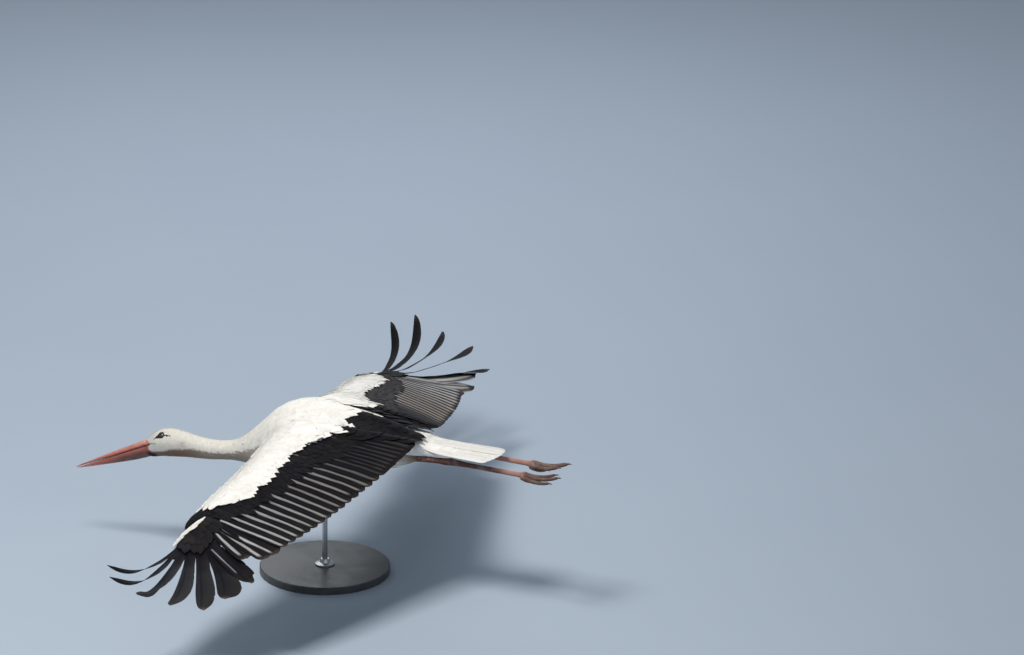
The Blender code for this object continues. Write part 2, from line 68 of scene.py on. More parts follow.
# A brown that is partly real stain and partly painted shade, for the undersides of head and neck and the
# thighs' lower ends.
STAIN_AND_SHADE = (0.225, 0.130, 0.074)
GAPE_UPPER = (0.60, 0.25, 0.195)
GAPE_LOWER = (0.45, 0.135, 0.100)
BILL_TIP = (0.56, 0.20, 0.15)
BILL_RED = (0.50, 0.125, 0.090)
# A painted highlight for the top of the upper mandible.
BILL_HIGHLIGHT = (0.60, 0.27, 0.22)
# Painted shade for the lower mandible, and darker painted shade along its lower edge.
BILL_SHADE_BELOW = (0.42, 0.090, 0.062)
BILL_SHADE_EDGE = (0.030, 0.013, 0.013)
# Painted shade along the gape, where the mandibles meet.
BILL_GAPE_SHADE = (0.075, 0.020, 0.018)
# Painted shade for the inside of the nostril slits.
NOSTRIL_SHADE = (0.12, 0.030, 0.026)
# Dark brown painted shade for the upper legs, under the wing and tail; the pink is the leg's own colour.
LEG_SHADE = (0.125, 0.050, 0.038)
LEG_PINK = (0.46, 0.22, 0.175)
# Brown for the toes: partly dirt, partly painted shade.
TOE_DIRT_AND_SHADE = (0.14, 0.078, 0.060)

# The grids that surfaces are read on: steps in metres, steps in a full turn, and steps past it at each end.
SHEET_STEP = 0.004
RING_STEP = 0.004
RING_COUNT = 72
RING_WRAP = 8

# The thickness of flight feathers, coverts and body feathers.
FLIGHT_THICK = 0.00045
COVERT_THICK = 0.00024
DOWN_THICK = 0.00014


# ---------------------------------------------------------------- arithmetic


def unit(vectors):
    """The vectors, each made 1 long."""
    return vectors / np.maximum(np.linalg.norm(vectors, axis=-1, keepdims=True), 1e-12)


def smooth_step(low, high, value):
    """0 up to low, 1 from high on, and a smooth rise between them."""
    share = np.clip((value - low) / (high - low), 0, 1)
    return share * share * (3 - 2 * share)


def mix(first, second, share):
    """Colours between two, share by share."""
    share = np.asarray(share, float)[..., None]
    return first * (1 - share) + second * share


def bell(value, width):
    """1 at 0, fading out to both sides."""
    return np.exp(-((value / width) ** 2))


def relax(line, rounds):
    """A line with its bends evened out and its ends kept."""
    line = line.copy()
    for _ in range(rounds):
        line[1:-1] = (line[:-2] + 2 * line[1:-1] + line[2:]) / 4
    return line


def distance_along(line):
    return np.concatenate([[0], np.cumsum(np.linalg.norm(np.diff(line, axis=0), axis=1))])


def interp_rows(at, known, rows):
    """np.interp for rows of three numbers."""
    return np.stack([np.interp(at, known, rows[:, k]) for k in range(3)], -1)


def spread(values, rounds):
    """Fills the gaps of a grid from their neighbours and evens it out."""

    def neighbours(grid):
        return grid[:-2, 1:-1] + grid[2:, 1:-1] + grid[1:-1, :-2] + grid[1:-1, 2:]

    known = ~np.isnan(values)
    filled = np.where(known, values, 0.0)
    for _ in range(60):
        total = neighbours(np.pad(filled * known, 1))
        seen = neighbours(np.pad(known.astype(float), 1))
        fresh = ~known & (seen > 0)
        filled[fresh] = total[fresh] / seen[fresh]
        known |= fresh
    for _ in range(rounds):
        filled = (neighbours(np.pad(filled, 1, mode="edge")) + 4 * filled) / 8
    return filled


# ---------------------------------------------------------------- reading the frame


def numbers(items, key, kind=float):
    """One property of a mesh's points or triangles, as rows of three."""
    values = np.empty(len(items) * 3, kind)
    items.foreach_get(key, values)
    return values.reshape(-1, 3)


def cad_mesh(*names):
    """Points and triangles of some CAD nodes, together."""
    points = []
    faces = []
    count = 0
    for name in names:
        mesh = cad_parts[name].data
        mesh.calc_loop_triangles()
        points.append(numbers(mesh.vertices, "co"))
        faces.append(numbers(mesh.loop_triangles, "vertices", int) + count)
        count += len(mesh.vertices)
    return np.concatenate(points), np.concatenate(faces)


def node_box(name):
    """The low and high corner of a CAD node."""
    low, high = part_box(name)
    return np.array(low), np.array(high)


def cut_points(points, faces, origin, direction):
    """Where the edges of a mesh cross the plane through origin, square to direction."""
    height = (points - origin) @ direction
    edges = np.concatenate([faces[:, [0, 1]], faces[:, [1, 2]], faces[:, [2, 0]]])
    first, last = height[edges[:, 0]], height[edges[:, 1]]
    crossing = first * last < 0
    share = (first / np.where(crossing, first - last, 1))[crossing][:, None]
    return points[edges[crossing, 0]] * (1 - share) + points[edges[crossing, 1]] * share


class Surface:
    """A smooth surface read from the frame: its places and outward normals over a grid of two measures."""

    def __init__(self, low, step, places, outward_sign=1):
        self.low = low
        self.step = step
        self.places = places
        self.normals = unit(np.cross(np.gradient(places, axis=0), np.gradient(places, axis=1))) * outward_sign

    def at(self, a, b):
        """Places and normals at two arrays of measures."""
        rows, cols = self.places.shape[:2]
        i = np.clip((a - self.low[0]) / self.step[0], 0, rows - 1.001)
        j = np.clip((b - self.low[1]) / self.step[1], 0, cols - 1.001)
        i0, j0 = i.astype(int), j.astype(int)
        u, v = (i - i0)[..., None], (j - j0)[..., None]

        def blend(grid):
            near = grid[i0, j0] * (1 - v) + grid[i0, j0 + 1] * v
            far = grid[i0 + 1, j0] * (1 - v) + grid[i0 + 1, j0 + 1] * v
            return near * (1 - u) + far * u

        return blend(self.places), unit(blend(self.normals))

    def with_slope(self, a, b):
        """Places, and how many metres of the surface each metre of the second measure is."""
        places = self.at(a, b)[0]
        ahead = self.at(a, b + RING_STEP)[0]
        return places, np.maximum(np.linalg.norm(ahead - places, axis=1) / RING_STEP, 1)


def read_sheet(names, upward=True):
    """The top (or underside) of some nodes over x and y. Its grid tells where they are."""
    points, faces = cad_mesh(*names)
    tree = BVHTree.FromPolygons(points.tolist(), faces.tolist())
    xs = np.arange(SHEET_LOW[0], SHEET_HIGH[0], SHEET_STEP)
    ys = np.arange(SHEET_LOW[1], SHEET_HIGH[1], SHEET_STEP)
    heights = np.full((len(xs), len(ys)), np.nan)
    sign = 1 if upward else -1
    for i, x in enumerate(xs):
        for j, y in enumerate(ys):
            hit = tree.ray_cast(Vector((x, y, 3.0 * sign)), Vector((0, 0, -sign)))[0]
            if hit is not None:
                heights[i, j] = hit.z
    places = np.stack(np.broadcast_arrays(xs[:, None], ys[None, :], spread(heights, 5)), -1)
    made = Surface((xs[0], ys[0]), (SHEET_STEP, SHEET_STEP), places, sign)
    made.xs, made.ys, made.there = xs, ys, ~np.isnan(heights)
    return made


def read_barrel(names, start, end, rounds=3, hollow=None):
    """The outside of some nodes over the turn about their middle line and y.

    It is smoothed over a hollow on both sides, given by its middle on the left and its radius.
    """
    points, faces = cad_mesh(*names)
    tree = BVHTree.FromPolygons(points.tolist(), faces.tolist())
    ys = np.arange(start, end, RING_STEP)
    middles = np.full((len(ys), 3), np.nan)
    for j, y in enumerate(ys):
        ring = cut_points(points, faces, np.array((0, y, 0)), np.array((0, 1.0, 0)))
        if len(ring):
            middles[j] = (ring.min(0) + ring.max(0)) / 2
    known = ~np.isnan(middles[:, 0])
    middles = relax(interp_rows(ys, ys[known], middles[known]), 4)
    radii = np.full((RING_COUNT, len(ys)), np.nan)
    for i, turn in enumerate(np.linspace(-math.pi, math.pi, RING_COUNT + 1)[:-1]):
        ray = Vector((math.sin(turn), 0, math.cos(turn)))
        for j, y in enumerate(ys):
            middle = Vector((middles[j, 0], y, middles[j, 2]))
            hit = tree.ray_cast(middle, ray)[0]
            if hit is None:
                continue
            radius = (hit - middle).length
            hit.x = abs(hit.x)
            if not hollow or (hit - hollow[0]).length >= hollow[1]:
                radii[i, j] = radius
    radii = spread(np.concatenate([radii[-RING_WRAP:], radii, radii[: RING_WRAP + 1]]), rounds)
    step = 2 * math.pi / RING_COUNT
    turns = (np.arange(-RING_WRAP, RING_COUNT + RING_WRAP + 1) * step - math.pi)[:, None]
    x = middles[:, 0] + radii * np.sin(turns)
    z = middles[:, 2] + radii * np.cos(turns)
    made = Surface((turns[0, 0], ys[0]), (step, RING_STEP), np.stack(np.broadcast_arrays(x, ys, z), -1))
    made.middles, made.ys = middles, ys
    return made


def ring_turns(surface, y, spacing, offset):
    """Turns about a barrel's middle, evenly spaced along its outline at y, and the turns for each metre."""
    turns = np.linspace(-math.pi, math.pi, 181)
    measured = distance_along(surface.at(turns, np.full(181, y))[0])
    count = max(8, int(measured[-1] / spacing))
    marks = (np.arange(count) + offset) / count * measured[-1]
    return np.interp(marks, measured, turns), np.interp(marks, measured, np.gradient(turns, measured))


# ---------------------------------------------------------------- meshes


def link(name, data):
    """A new object of the scene."""
    made = bpy.data.objects.new(name, data)
    bpy.context.scene.collection.objects.link(made)
    return made


def floats(values):
    return values.astype(np.float32).ravel()


def add_looks(mesh, tint=None, vane=None):
    """What the materials read at each point: a colour and three measures, such as across, along and seed."""
    if tint is not None:
        made = mesh.attributes.new("tint", "FLOAT_COLOR", "POINT")
        made.data.foreach_set("color", floats(np.concatenate([tint, np.ones((len(tint), 1))], 1)))
    if vane is not None:
        made = mesh.attributes.new("vane", "FLOAT_VECTOR", "POINT")
        made.data.foreach_set("vector", floats(vane))


def mesh_object(name, places, faces, paint, tint=None, vane=None, bake_map=None):
    """A mesh object from arrays. Feathers bring a bake map, by the corners of faces, and have sharp rims."""
    mesh = bpy.data.meshes.new(name)
    mesh.vertices.add(len(places))
    mesh.vertices.foreach_set("co", floats(places))
    mesh.loops.add(faces.size)
    mesh.loops.foreach_set("vertex_index", faces.astype(np.int32).ravel())
    mesh.polygons.add(len(faces))
    mesh.polygons.foreach_set("loop_start", np.arange(0, faces.size, faces.shape[1], dtype=np.int32))
    mesh.update(calc_edges=True)
    mesh.shade_smooth()
    add_looks(mesh, tint, vane)
    if bake_map is not None:
        mesh.uv_layers.new(name="OFBake").uv.foreach_set("vector", floats(bake_map))
        mesh.set_sharp_from_angle(angle=math.radians(50))
    mesh.validate()
    made = link(name, mesh)
    made.data.materials.append(paint)
    return made


def belongs(piece, slot, *nodes):
    """The piece rides with the body and stands for the nodes, which are hidden. Its slot is not used."""
    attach(piece, "root")
    if nodes:
        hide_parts(*nodes)
    return piece


def lens(upper, normals, thick):
    """Thin closed vanes: their upper faces (vane, row, column) and undersides that share the borders."""
    count, rows, cols = upper.shape[:3]
    inside = np.zeros((rows, cols), bool)
    inside[1:-1, 1:-1] = True
    top = np.arange(rows * cols).reshape(rows, cols)
    low = top.copy()
    low[inside] = rows * cols + np.arange(inside.sum())

    def quads(grid):
        return np.stack([grid[:-1, :-1], grid[:-1, 1:], grid[1:, 1:], grid[1:, :-1]], -1).reshape(-1, 4)

    one = np.concatenate([quads(top), quads(low)[:, ::-1]])
    order = np.concatenate([top.ravel(), top[inside]])
    below = upper[:, inside] - normals[:, inside] * thick
    places = np.concatenate([upper.reshape(count, -1, 3), below], 1).reshape(-1, 3)
    faces = (one[None] + len(order) * np.arange(count)[:, None, None]).reshape(-1, 4)
    return places, faces, order


class Vanes:
    """Vanes gathered for one piece. Each has a grid of places, colours and (across, along, seed) measures.

    Its maps are a root's place on the unwrap and a place inside the feather's own patch there, from -1 to 1.
    """

    def __init__(self):
        self.places = []
        self.faces = []
        self.tints = []
        self.measures = []
        self.maps = []
        self.count = 0

    def add(self, upper, normals, tints, measures, maps, side, thick, flip=False, below=None):
        """Adds vanes. A colour for their undersides gives those a map of their own, beside the upper one."""
        number = len(upper)
        places, faces, order = lens(upper, normals, thick)
        if (side < 0) != flip:
            faces = faces[:, ::-1]
        tints = tints.reshape(number, -1, 3)[:, order]
        maps = maps.reshape(number, -1, 4)[:, order].reshape(-1, 4)[faces]
        if below is not None:
            tints[:, upper.shape[1] * upper.shape[2] :] = below
            maps = maps.reshape(number, 2, -1, 4) + np.array((0, 1))[:, None, None] * (1, 0, 0, 0)
        self.places.append(places * np.array((side, 1.0, 1.0)))
        self.faces.append(faces + self.count)
        self.tints.append(tints.reshape(-1, 3))
        self.measures.append(measures.reshape(number, -1, 3)[:, order].reshape(-1, 3))
        self.maps.append(maps.reshape(-1, 4))
        self.count += len(places)

    def piece(self, name, paint, slot, *nodes):
        maps = np.concatenate(self.maps)
        roots, patch = maps[:, :2], maps[:, 2:] * PATCH / 2
        low, high = roots.min(0), roots.max(0)
        maps = 0.01 + 0.98 * (roots - low) / np.maximum(high - low, 1e-9) + patch
        places, faces = np.concatenate(self.places), np.concatenate(self.faces)
        tints, measures = np.concatenate(self.tints), np.concatenate(self.measures)
        return belongs(mesh_object(name, places, faces, paint, tints, measures, maps), slot, *nodes)


# ---------------------------------------------------------------- the shapes of feathers

# A small feather's patch on the bake map, and the rows and columns of large and tiny ones.
PATCH = 0.003
LARGE = (11, 7)
TINY = (5, 3)
# Columns of a flight feather's two webs: close together where the leading one's stripe starts and ends.
LEAD_COLUMNS = (0.09, 0.17, 0.30, 0.42, 0.54, 0.66, 0.82, 1.0)
TRAIL_COLUMNS = 5
# How far a vane arches for each metre of its half width, its shaft's height and width, and the rise from
# its middle to its leading edge that lays it over the next one.
VANE_CAMBER = 0.05
SHAFT_HEIGHT = 0.0007
SHAFT_WIDTH = 0.0016
STACK_TILT = 0.0011


def add_small(vanes, surface, roots, scale, heading, length, width, tint, rng, blunt, lift, camber,
              rag=0.10, edge=None, grid=(6, 5), side=1.0, thick=DOWN_THICK, flip=False):
    """Adds coat feathers on a surface: roots are its two measures, and scale is measures for each metre.

    Blunt runs from 0, pointed, to 1, round. Lift is the root's and the tip's, and edge a colour.
    """
    count = len(roots)
    if not count:
        return
    rows, cols = grid
    s = (1 - (1 - np.linspace(0, 1, rows)) ** 1.5)[None, :, None]
    t = np.linspace(-1, 1, cols)[None, None, :]
    length = np.broadcast_to(length, count)[:, None, None]
    half = np.broadcast_to(width, count)[:, None, None] / 2 * (0.45 + 0.55 * smooth_step(0, 0.45, s))
    start = 0.35 + 0.30 * blunt
    end = np.clip((s - start) / (1 - start), 0, 1)
    floor = 0.06 + 0.24 * blunt
    tip = (1 - end ** (1.4 + 1.2 * blunt)) ** (0.95 - 0.40 * blunt) * (1 - floor) + floor
    ragged = 1 + rag * rng.normal(size=(count, rows, cols)) * np.abs(t)
    step_along = rag * 0.25 * rng.normal(size=(count, rows, cols)) * smooth_step(0.3, 1, s)
    along = s * length * (1 + step_along) - 0.10 * length * t * t * smooth_step(0.5, 1, s)
    bend = 0.05 * rng.normal(size=count)[:, None, None] * s * s * length
    across = t * half * tip * ragged + bend
    turn = heading[:, None, None]
    root_a, root_b = roots[:, 0, None, None], roots[:, 1, None, None]
    a = root_a + (across * np.cos(turn) + along * np.sin(turn)) * scale[:, 0, None, None]
    b = root_b + (along * np.cos(turn) - across * np.sin(turn)) * scale[:, 1, None, None]
    places, normals = surface.at(a, b)
    uneven = rng.normal(size=(count, 1, 1)) * np.minimum(0.00011, 0.010 * length)
    raised = lift[0] + (lift[1] - lift[0]) * s**0.8 + uneven + camber * half * tip * (1 - t * t)
    places = places + normals * raised[..., None]
    shade = np.broadcast_to(tint, (count, 3))[:, None, None]
    if edge is not None:
        rim = np.maximum(smooth_step(0.55, 1.0, np.abs(t)), smooth_step(0.86, 1.0, s))
        shade = mix(shade, edge, 0.5 * rim * smooth_step(0.2, 0.5, s))
    seed = rng.random(count)[:, None, None]
    measures = np.stack(np.broadcast_arrays(t * half, along, seed), -1)
    maps = np.stack(np.broadcast_arrays(root_a, root_b, t, 2 * s - 1), -1)
    vanes.add(places, normals, np.broadcast_to(shade, places.shape), measures, maps, side, thick, flip)


def flight_vane(path, across, lead, trail, normal, rng, tilt=STACK_TILT):
    """One long vane: a path, the unit vectors to its leading side, half widths on each side and normals.

    It is tilted so that its outer web lies over the next feather's inner web.
    """
    rows = len(path)
    t = np.concatenate([-np.linspace(1, 0, TRAIL_COLUMNS + 1), LEAD_COLUMNS])[None, :]
    s = np.linspace(0, 1, rows)[:, None]
    notch = np.ones(rows)
    notch[rng.integers(rows // 3, rows - 3)] *= rng.uniform(0.90, 0.96)
    lead_cut = 1 + 0.004 * rng.normal(size=rows)
    trail_cut = notch * (1 + 0.006 * rng.normal(size=rows))
    reach = np.where(t > 0, t * (lead * lead_cut)[:, None], t * (trail * trail_cut)[:, None])
    arch = VANE_CAMBER * np.where(t > 0, lead[:, None], trail[:, None]) * (1 - t * t)
    shaft = SHAFT_HEIGHT * (1 - 0.8 * s) * bell(reach, SHAFT_WIDTH)
    forward = unit(np.gradient(path, axis=0))
    slant = -0.10 * np.abs(reach) * (s * (1 - s) * 4)
    places = path[:, None] + across[:, None] * reach[..., None] + normal[:, None] * (arch + shaft)[..., None]
    places = places + forward[:, None] * slant[..., None] + normal[:, None] * (tilt * t)[..., None]
    measures = np.stack(np.broadcast_arrays(reach, distance_along(path)[:, None], rng.random()), -1)
    return places, np.broadcast_to(normal[:, None], places.shape), measures, s + 0 * t, t + 0 * s


# ---------------------------------------------------------------- materials


class Nodes:
    """A short way to write a material's nodes. Colours are given without their alpha."""

    def __init__(self, name):
        self.material = bpy.data.materials.new(name)
        self.material.use_nodes = True
        self.tree = self.material.node_tree
        self.shader = self.tree.nodes["Principled BSDF"]

    def put(self, node, place, value):
        socket = node.inputs[place]
        if isinstance(value, bpy.types.NodeSocket):
            self.tree.links.new(value, socket)
        elif value is not None:
            socket.default_value = (*value, 1.0) if socket.type == "RGBA" else value

    def add(self, kind, inputs, **settings):
        """Adds a node with its inputs, by number or name, and returns its outputs."""
        node = self.tree.nodes.new("ShaderNode" + kind)
        for key, value in settings.items():
            setattr(node, key, value)
        for place, value in inputs.items():
            self.put(node, place, value)
        return node.outputs

    def math(self, operation, *inputs):
        return self.add("Math", dict(enumerate(inputs)), operation=operation)[0]

    def tint(self):
        return self.add("Attribute", {}, attribute_name="tint")["Color"]

    def measures(self):
        return self.add("Attribute", {}, attribute_name="vane")["Vector"]

    def place(self):
        return self.add("TexCoord", {})["Object"]

    def stretch(self, where, scale):
        return self.add("Mapping", {"Vector": where, "Scale": scale})[0]

    def noise(self, where, scale, detail=3.0, rough=0.55):
        inputs = {"Vector": where, "Scale": scale, "Detail": detail, "Roughness": rough}
        return self.add("TexNoise", inputs)["Fac"]

    def ramp(self, value, low, high, to_low=0.0, to_high=1.0):
        return self.add("MapRange", dict(enumerate((value, low, high, to_low, to_high))))[0]

    def vary(self, value, amount, base):
        """The base, more or less of it where the value is above or below a half."""
        return self.math("MULTIPLY_ADD", self.math("SUBTRACT", value, 0.5), amount, base)

    def blend(self, share, first, second, how="MIX"):
        return self.add("Mix", {0: share, 6: first, 7: second}, data_type="RGBA", blend_type=how)[2]

    def fade(self, value, low, high, first, second, most=1.0):
        """From the first colour to the second as the value goes from low to high."""
        return self.blend(self.ramp(value, low, high, 0.0, most), first, second)

    def toned(self, color, tone):
        """The colour made lighter or darker."""
        grey = self.add("CombineColor", {0: tone, 1: tone, 2: tone})[0]
        return self.blend(1.0, color, grey, "MULTIPLY")

    def bump(self, height, distance, strength=1.0):
        return self.add("Bump", {"Height": height, "Distance": distance, "Strength": strength})[0]

    def finish(self, color, rough, normal=None, **constants):
        self.put(self.shader, "Base Color", color)
        self.put(self.shader, "Roughness", rough)
        self.put(self.shader, "Normal", normal)
        for name, value in constants.items():
            self.put(self.shader, name.replace("_", " "), value)
        return self.material


def plumage_paint(name, pitch, depth, rough, sheen, sheen_tint, gloss, streaky):
    """Feather: the tint of each vane, broken by fine slanting barbs and by soft clumps of them."""
    nodes = Nodes(name)
    across, along, seed = nodes.add("SeparateXYZ", {0: nodes.measures()})
    slant = nodes.math("MULTIPLY_ADD", nodes.math("ABSOLUTE", across), -1.1, along)
    barbs = nodes.math("SINE", nodes.math("MULTIPLY", slant, 2 * math.pi / pitch))
    where = nodes.place()
    clumps = nodes.noise(where, 160, 2.0)
    patches = nodes.noise(where, 22)
    waves = nodes.math("MULTIPLY", clumps, 9.0)
    stripes = nodes.math("SINE", nodes.math("MULTIPLY_ADD", slant, 2 * math.pi / (pitch * 4.3), waves))
    tone = nodes.math("MULTIPLY_ADD", stripes, streaky, nodes.vary(clumps, 0.30, 1.0))
    tone = nodes.vary(seed, 0.07, nodes.vary(patches, 0.16, tone))
    height = nodes.math("ADD", nodes.math("MULTIPLY", barbs, 0.35), nodes.math("MULTIPLY", stripes, 0.65))
    uneven = nodes.ramp(clumps, 0.3, 0.7, rough - 0.05, rough + 0.07)
    return nodes.finish(nodes.toned(nodes.tint(), tone), uneven, nodes.bump(height, depth, 0.8),
                        Sheen_Weight=sheen, Sheen_Roughness=0.4, Sheen_Tint=sheen_tint,
                        Specular_IOR_Level=gloss)


def skin_paint():
    """Skin under the coat: the coat's own tint, with downy clumps."""
    nodes = Nodes("bird_skin")
    down = nodes.noise(nodes.place(), 420, 4.0, 0.7)
    color = nodes.toned(nodes.tint(), nodes.ramp(down, 0.3, 0.7, 0.84, 1.04))
    return nodes.finish(color, 0.85, nodes.bump(down, 0.0008), Specular_IOR_Level=0.25)


def horn_paint():
    """Bill horn: tinted by place, with lengthwise grain, small pits and worn paler streaks."""
    nodes = Nodes("bill_horn")
    tint = nodes.tint()
    grain = nodes.noise(nodes.stretch(nodes.measures(), (420.0, 26.0, 420.0)), 1.0, 5.0, 0.65)
    pits = nodes.noise(nodes.place(), 900, 2.0)
    mottle = nodes.noise(nodes.place(), 75, 4.0, 0.6)
    color = nodes.fade(grain, 0.35, 0.75, tint, (0.72, 0.34, 0.27), 0.55)
    color = nodes.fade(mottle, 0.45, 0.75, color, (0.33, 0.062, 0.045), 0.5)
    height = nodes.math("MULTIPLY_ADD", pits, 0.3, grain)
    rough = nodes.ramp(grain, 0.3, 0.7, 0.34, 0.50)
    return nodes.finish(nodes.blend(0.75, tint, color), rough, nodes.bump(height, 0.0005, 0.7),
                        Subsurface_Weight=0.08, Subsurface_Radius=(0.004, 0.0015, 0.001),
                        Specular_IOR_Level=0.5)


def leg_paint():
    """Scaly legs: dull red under a net of small plates, with the pale dust that storks carry on them."""
    nodes = Nodes("leg_scales")
    where = nodes.place()
    plates = {"Vector": nodes.stretch(where, (1.0, 0.62, 1.0)), "Scale": 760}
    seams = nodes.ramp(nodes.add("TexVoronoi", plates, feature="DISTANCE_TO_EDGE")[0], 0.0, 0.16)
    dust = nodes.noise(where, 48, 5.0, 0.65)
    color = nodes.fade(dust, 0.50, 0.66, nodes.tint(), (0.46, 0.38, 0.32), 0.40)
    color = nodes.blend(seams, nodes.blend(0.28, color, (0.05, 0.02, 0.018)), color)
    rough = nodes.ramp(dust, 0.4, 0.7, 0.5, 0.75)
    return nodes.finish(color, rough, nodes.bump(seams, 0.0003, 0.8), Specular_IOR_Level=0.35)


def claw_paint():
    """Claws: dark brown horn, paler towards a worn edge."""
    nodes = Nodes("claw_horn")
    grain = nodes.noise(nodes.place(), 500, 4.0)
    color = nodes.fade(grain, 0.35, 0.7, (0.030, 0.017, 0.013), (0.13, 0.075, 0.055))
    return nodes.finish(color, 0.38, nodes.bump(grain, 0.0002))


def eye_paint():
    """Eye: a black pupil, a dark brown iris with fine rays, and a clear wet coat over both."""
    nodes = Nodes("eye_gloss")
    out, turn, _ = nodes.add("SeparateXYZ", {0: nodes.measures()})
    rays = nodes.math("SINE", nodes.math("MULTIPLY", turn, 46.0))
    iris = nodes.fade(rays, -1.0, 1.0, (0.012, 0.007, 0.005), (0.030, 0.016, 0.010))
    color = nodes.fade(out, 0.36, 0.42, (0.002, 0.002, 0.002), iris)
    color = nodes.fade(out, 0.72, 0.82, color, (0.006, 0.005, 0.005))
    return nodes.finish(color, 0.12, Coat_Weight=1.0, Coat_Roughness=0.03)


def lid_paint():
    """Bare lids: nearly black wrinkled skin."""
    nodes = Nodes("lid_skin")
    folds = nodes.noise(nodes.place(), 1300)
    color = nodes.fade(folds, 0.3, 0.7, (0.010, 0.009, 0.010), (0.040, 0.032, 0.032))
    return nodes.finish(color, 0.55, nodes.bump(folds, 0.0003))


def stand_paint():
    """The base: dark grey satin lacquer with a fine orange-peel."""
    nodes = Nodes("stand_paint")
    peel = nodes.noise(nodes.place(), 300, 2.0)
    scuff = nodes.noise(nodes.place(), 30, 6.0, 0.7)
    color = nodes.fade(scuff, 0.4, 0.75, (0.045, 0.047, 0.050), (0.075, 0.077, 0.080))
    return nodes.finish(color, nodes.ramp(scuff, 0.35, 0.7, 0.32, 0.48), nodes.bump(peel, 0.0001, 0.5))


def steel_paint():
    """The rod and collar: brushed steel."""
    nodes = Nodes("stand_steel")
    brushed = nodes.noise(nodes.stretch(nodes.place(), (900.0, 900.0, 12.0)), 1.0, 4.0)
    color = nodes.blend(brushed, (0.42, 0.43, 0.44), (0.62, 0.63, 0.64))
    rough = nodes.ramp(brushed, 0.3, 0.7, 0.26, 0.42)
    return nodes.finish(color, rough, nodes.bump(brushed, 0.0001, 0.4), Metallic=1.0)


# ---------------------------------------------------------------- the bird's measures

TIP = np.array(min(cad_mesh("bill_upper")[0].tolist(), key=lambda place: place[1]))
EYE_LOW, EYE_HIGH = node_box("eye_left")
EYE = (EYE_LOW + EYE_HIGH) / 2
EYE_RADIUS = (EYE_HIGH[2] - EYE_LOW[2]) / 2
TRUNK_LOW, TRUNK_HIGH = node_box("trunk")
TAIL_LOW, TAIL_HIGH = node_box("tail")
THIGH_LOW, THIGH_HIGH = node_box("thigh_left")
HAND_LOW, HAND_HIGH = node_box("wing_hand_left")
SECONDARY_LOW, SECONDARY_HIGH = node_box("secondaries_left")

SHEET_LOW = (-0.022, TRUNK_LOW[1])
SHEET_HIGH = (HAND_HIGH[0] + 0.04, TAIL_HIGH[1] + 0.02)
BACK = read_sheet(("trunk", "tail") + WING_SHEET)
WING_TOP = read_sheet(WING_SHEET)
WING_UNDER = read_sheet(WING_SHEET, upward=False)
SOCKET = (Vector(EYE), EYE_RADIUS * 1.25)
BODY = read_barrel(FLESH, node_box("head")[0][1] + 0.004, TRUNK_HIGH[1] - 0.004, hollow=SOCKET)
RUMP = read_barrel(("trunk", "tail"), TRUNK_HIGH[1] - 0.080, TAIL_LOW[1] + 0.125, 8)
THIGH = read_barrel(("thigh_left", "shank_left"), THIGH_LOW[1] + 0.004, THIGH_HIGH[1] + 0.045)


def edge_line(last):
    """The wing's leading or trailing edge, evened out, as y for each x of the sheet."""
    line = np.full(len(WING_TOP.xs), np.nan)
    for i, row in enumerate(WING_TOP.there):
        if row.any():
            line[i] = WING_TOP.ys[np.flatnonzero(row)[-1 if last else 0]]
    known = ~np.isnan(line)
    line = np.interp(WING_TOP.xs, WING_TOP.xs[known], line[known])
    padded = np.pad(line, 4, mode="edge")
    return np.mean([padded[k : k + len(line)] for k in range(9)], axis=0)


LEAD_LINE = edge_line(False)
TRAIL_LINE = edge_line(True)


def lead_y(x):
    return np.interp(x, WING_TOP.xs, LEAD_LINE)


def trail_y(x):
    return np.interp(x, WING_TOP.xs, TRAIL_LINE)


def chord_y(x, share):
    """y at a share of the way from the leading to the trailing edge."""
    return lead_y(x) + share * (trail_y(x) - lead_y(x))


def middle_z(surface, places):
    """The height of a barrel's middle line beside the places."""
    return np.interp(places[..., 1], surface.ys, surface.middles[:, 2])


def left_side(places):
    """The same places of the left side of the bird."""
    return np.abs(places) * (1, 0, 1) + places * (0, 1, 0)


def throat(places):
    """How far the loose throat hangs below the CAD head and upper neck."""
    aft = places[..., 1] - TIP[1]
    along = smooth_step(0.172, 0.200, aft) * (1 - smooth_step(0.27, 0.40, aft))
    return 0.0044 * along * smooth_step(0.002, 0.017, middle_z(BODY, places) - places[..., 2])


def undertail(places):
    """How far the full undertail coverts hang below the CAD trunk's end and tail."""
    along = smooth_step(0.205, 0.250, places[..., 1]) * (1 - smooth_step(0.310, 0.390, places[..., 1]))
    return 0.0095 * along * smooth_step(-0.003, 0.006, middle_z(RUMP, places) - places[..., 2])


def tail_droop(places):
    """The tail's sides hang a little below its middle."""
    share = places[..., 0] / TAIL_HIGH[0]
    return 0.004 * share**2 * smooth_step(0.25, 0.30, places[..., 1])


def thigh_root(places):
    """1 at the thigh's front end, which the trunk's plumage covers, fading to 0 behind it."""
    low = (places[..., 2] < 0.318) & (places[..., 1] > 0.10) & (np.abs(places[..., 0]) < 0.075)
    return (1 - smooth_step(0.150, 0.190, places[..., 1])) * low


def onto_body(places):
    """The nearest places of the smoothed head, neck and trunk, and its normals there."""
    away = places - interp_rows(places[:, 1], BODY.ys, BODY.middles)
    return BODY.at(np.arctan2(away[:, 0], away[:, 2]), places[:, 1])


BODY.places[..., 2] -= throat(BODY.places)
RUMP.places[..., 2] -= undertail(RUMP.places) + tail_droop(RUMP.places)
THIGH_SHAPE = THIGH.places.reshape(-1, 3)
ROOTED = thigh_root(THIGH_SHAPE)[:, None]
THIGH.places = (THIGH_SHAPE * (1 - ROOTED) + onto_body(THIGH_SHAPE)[0] * ROOTED).reshape(THIGH.places.shape)

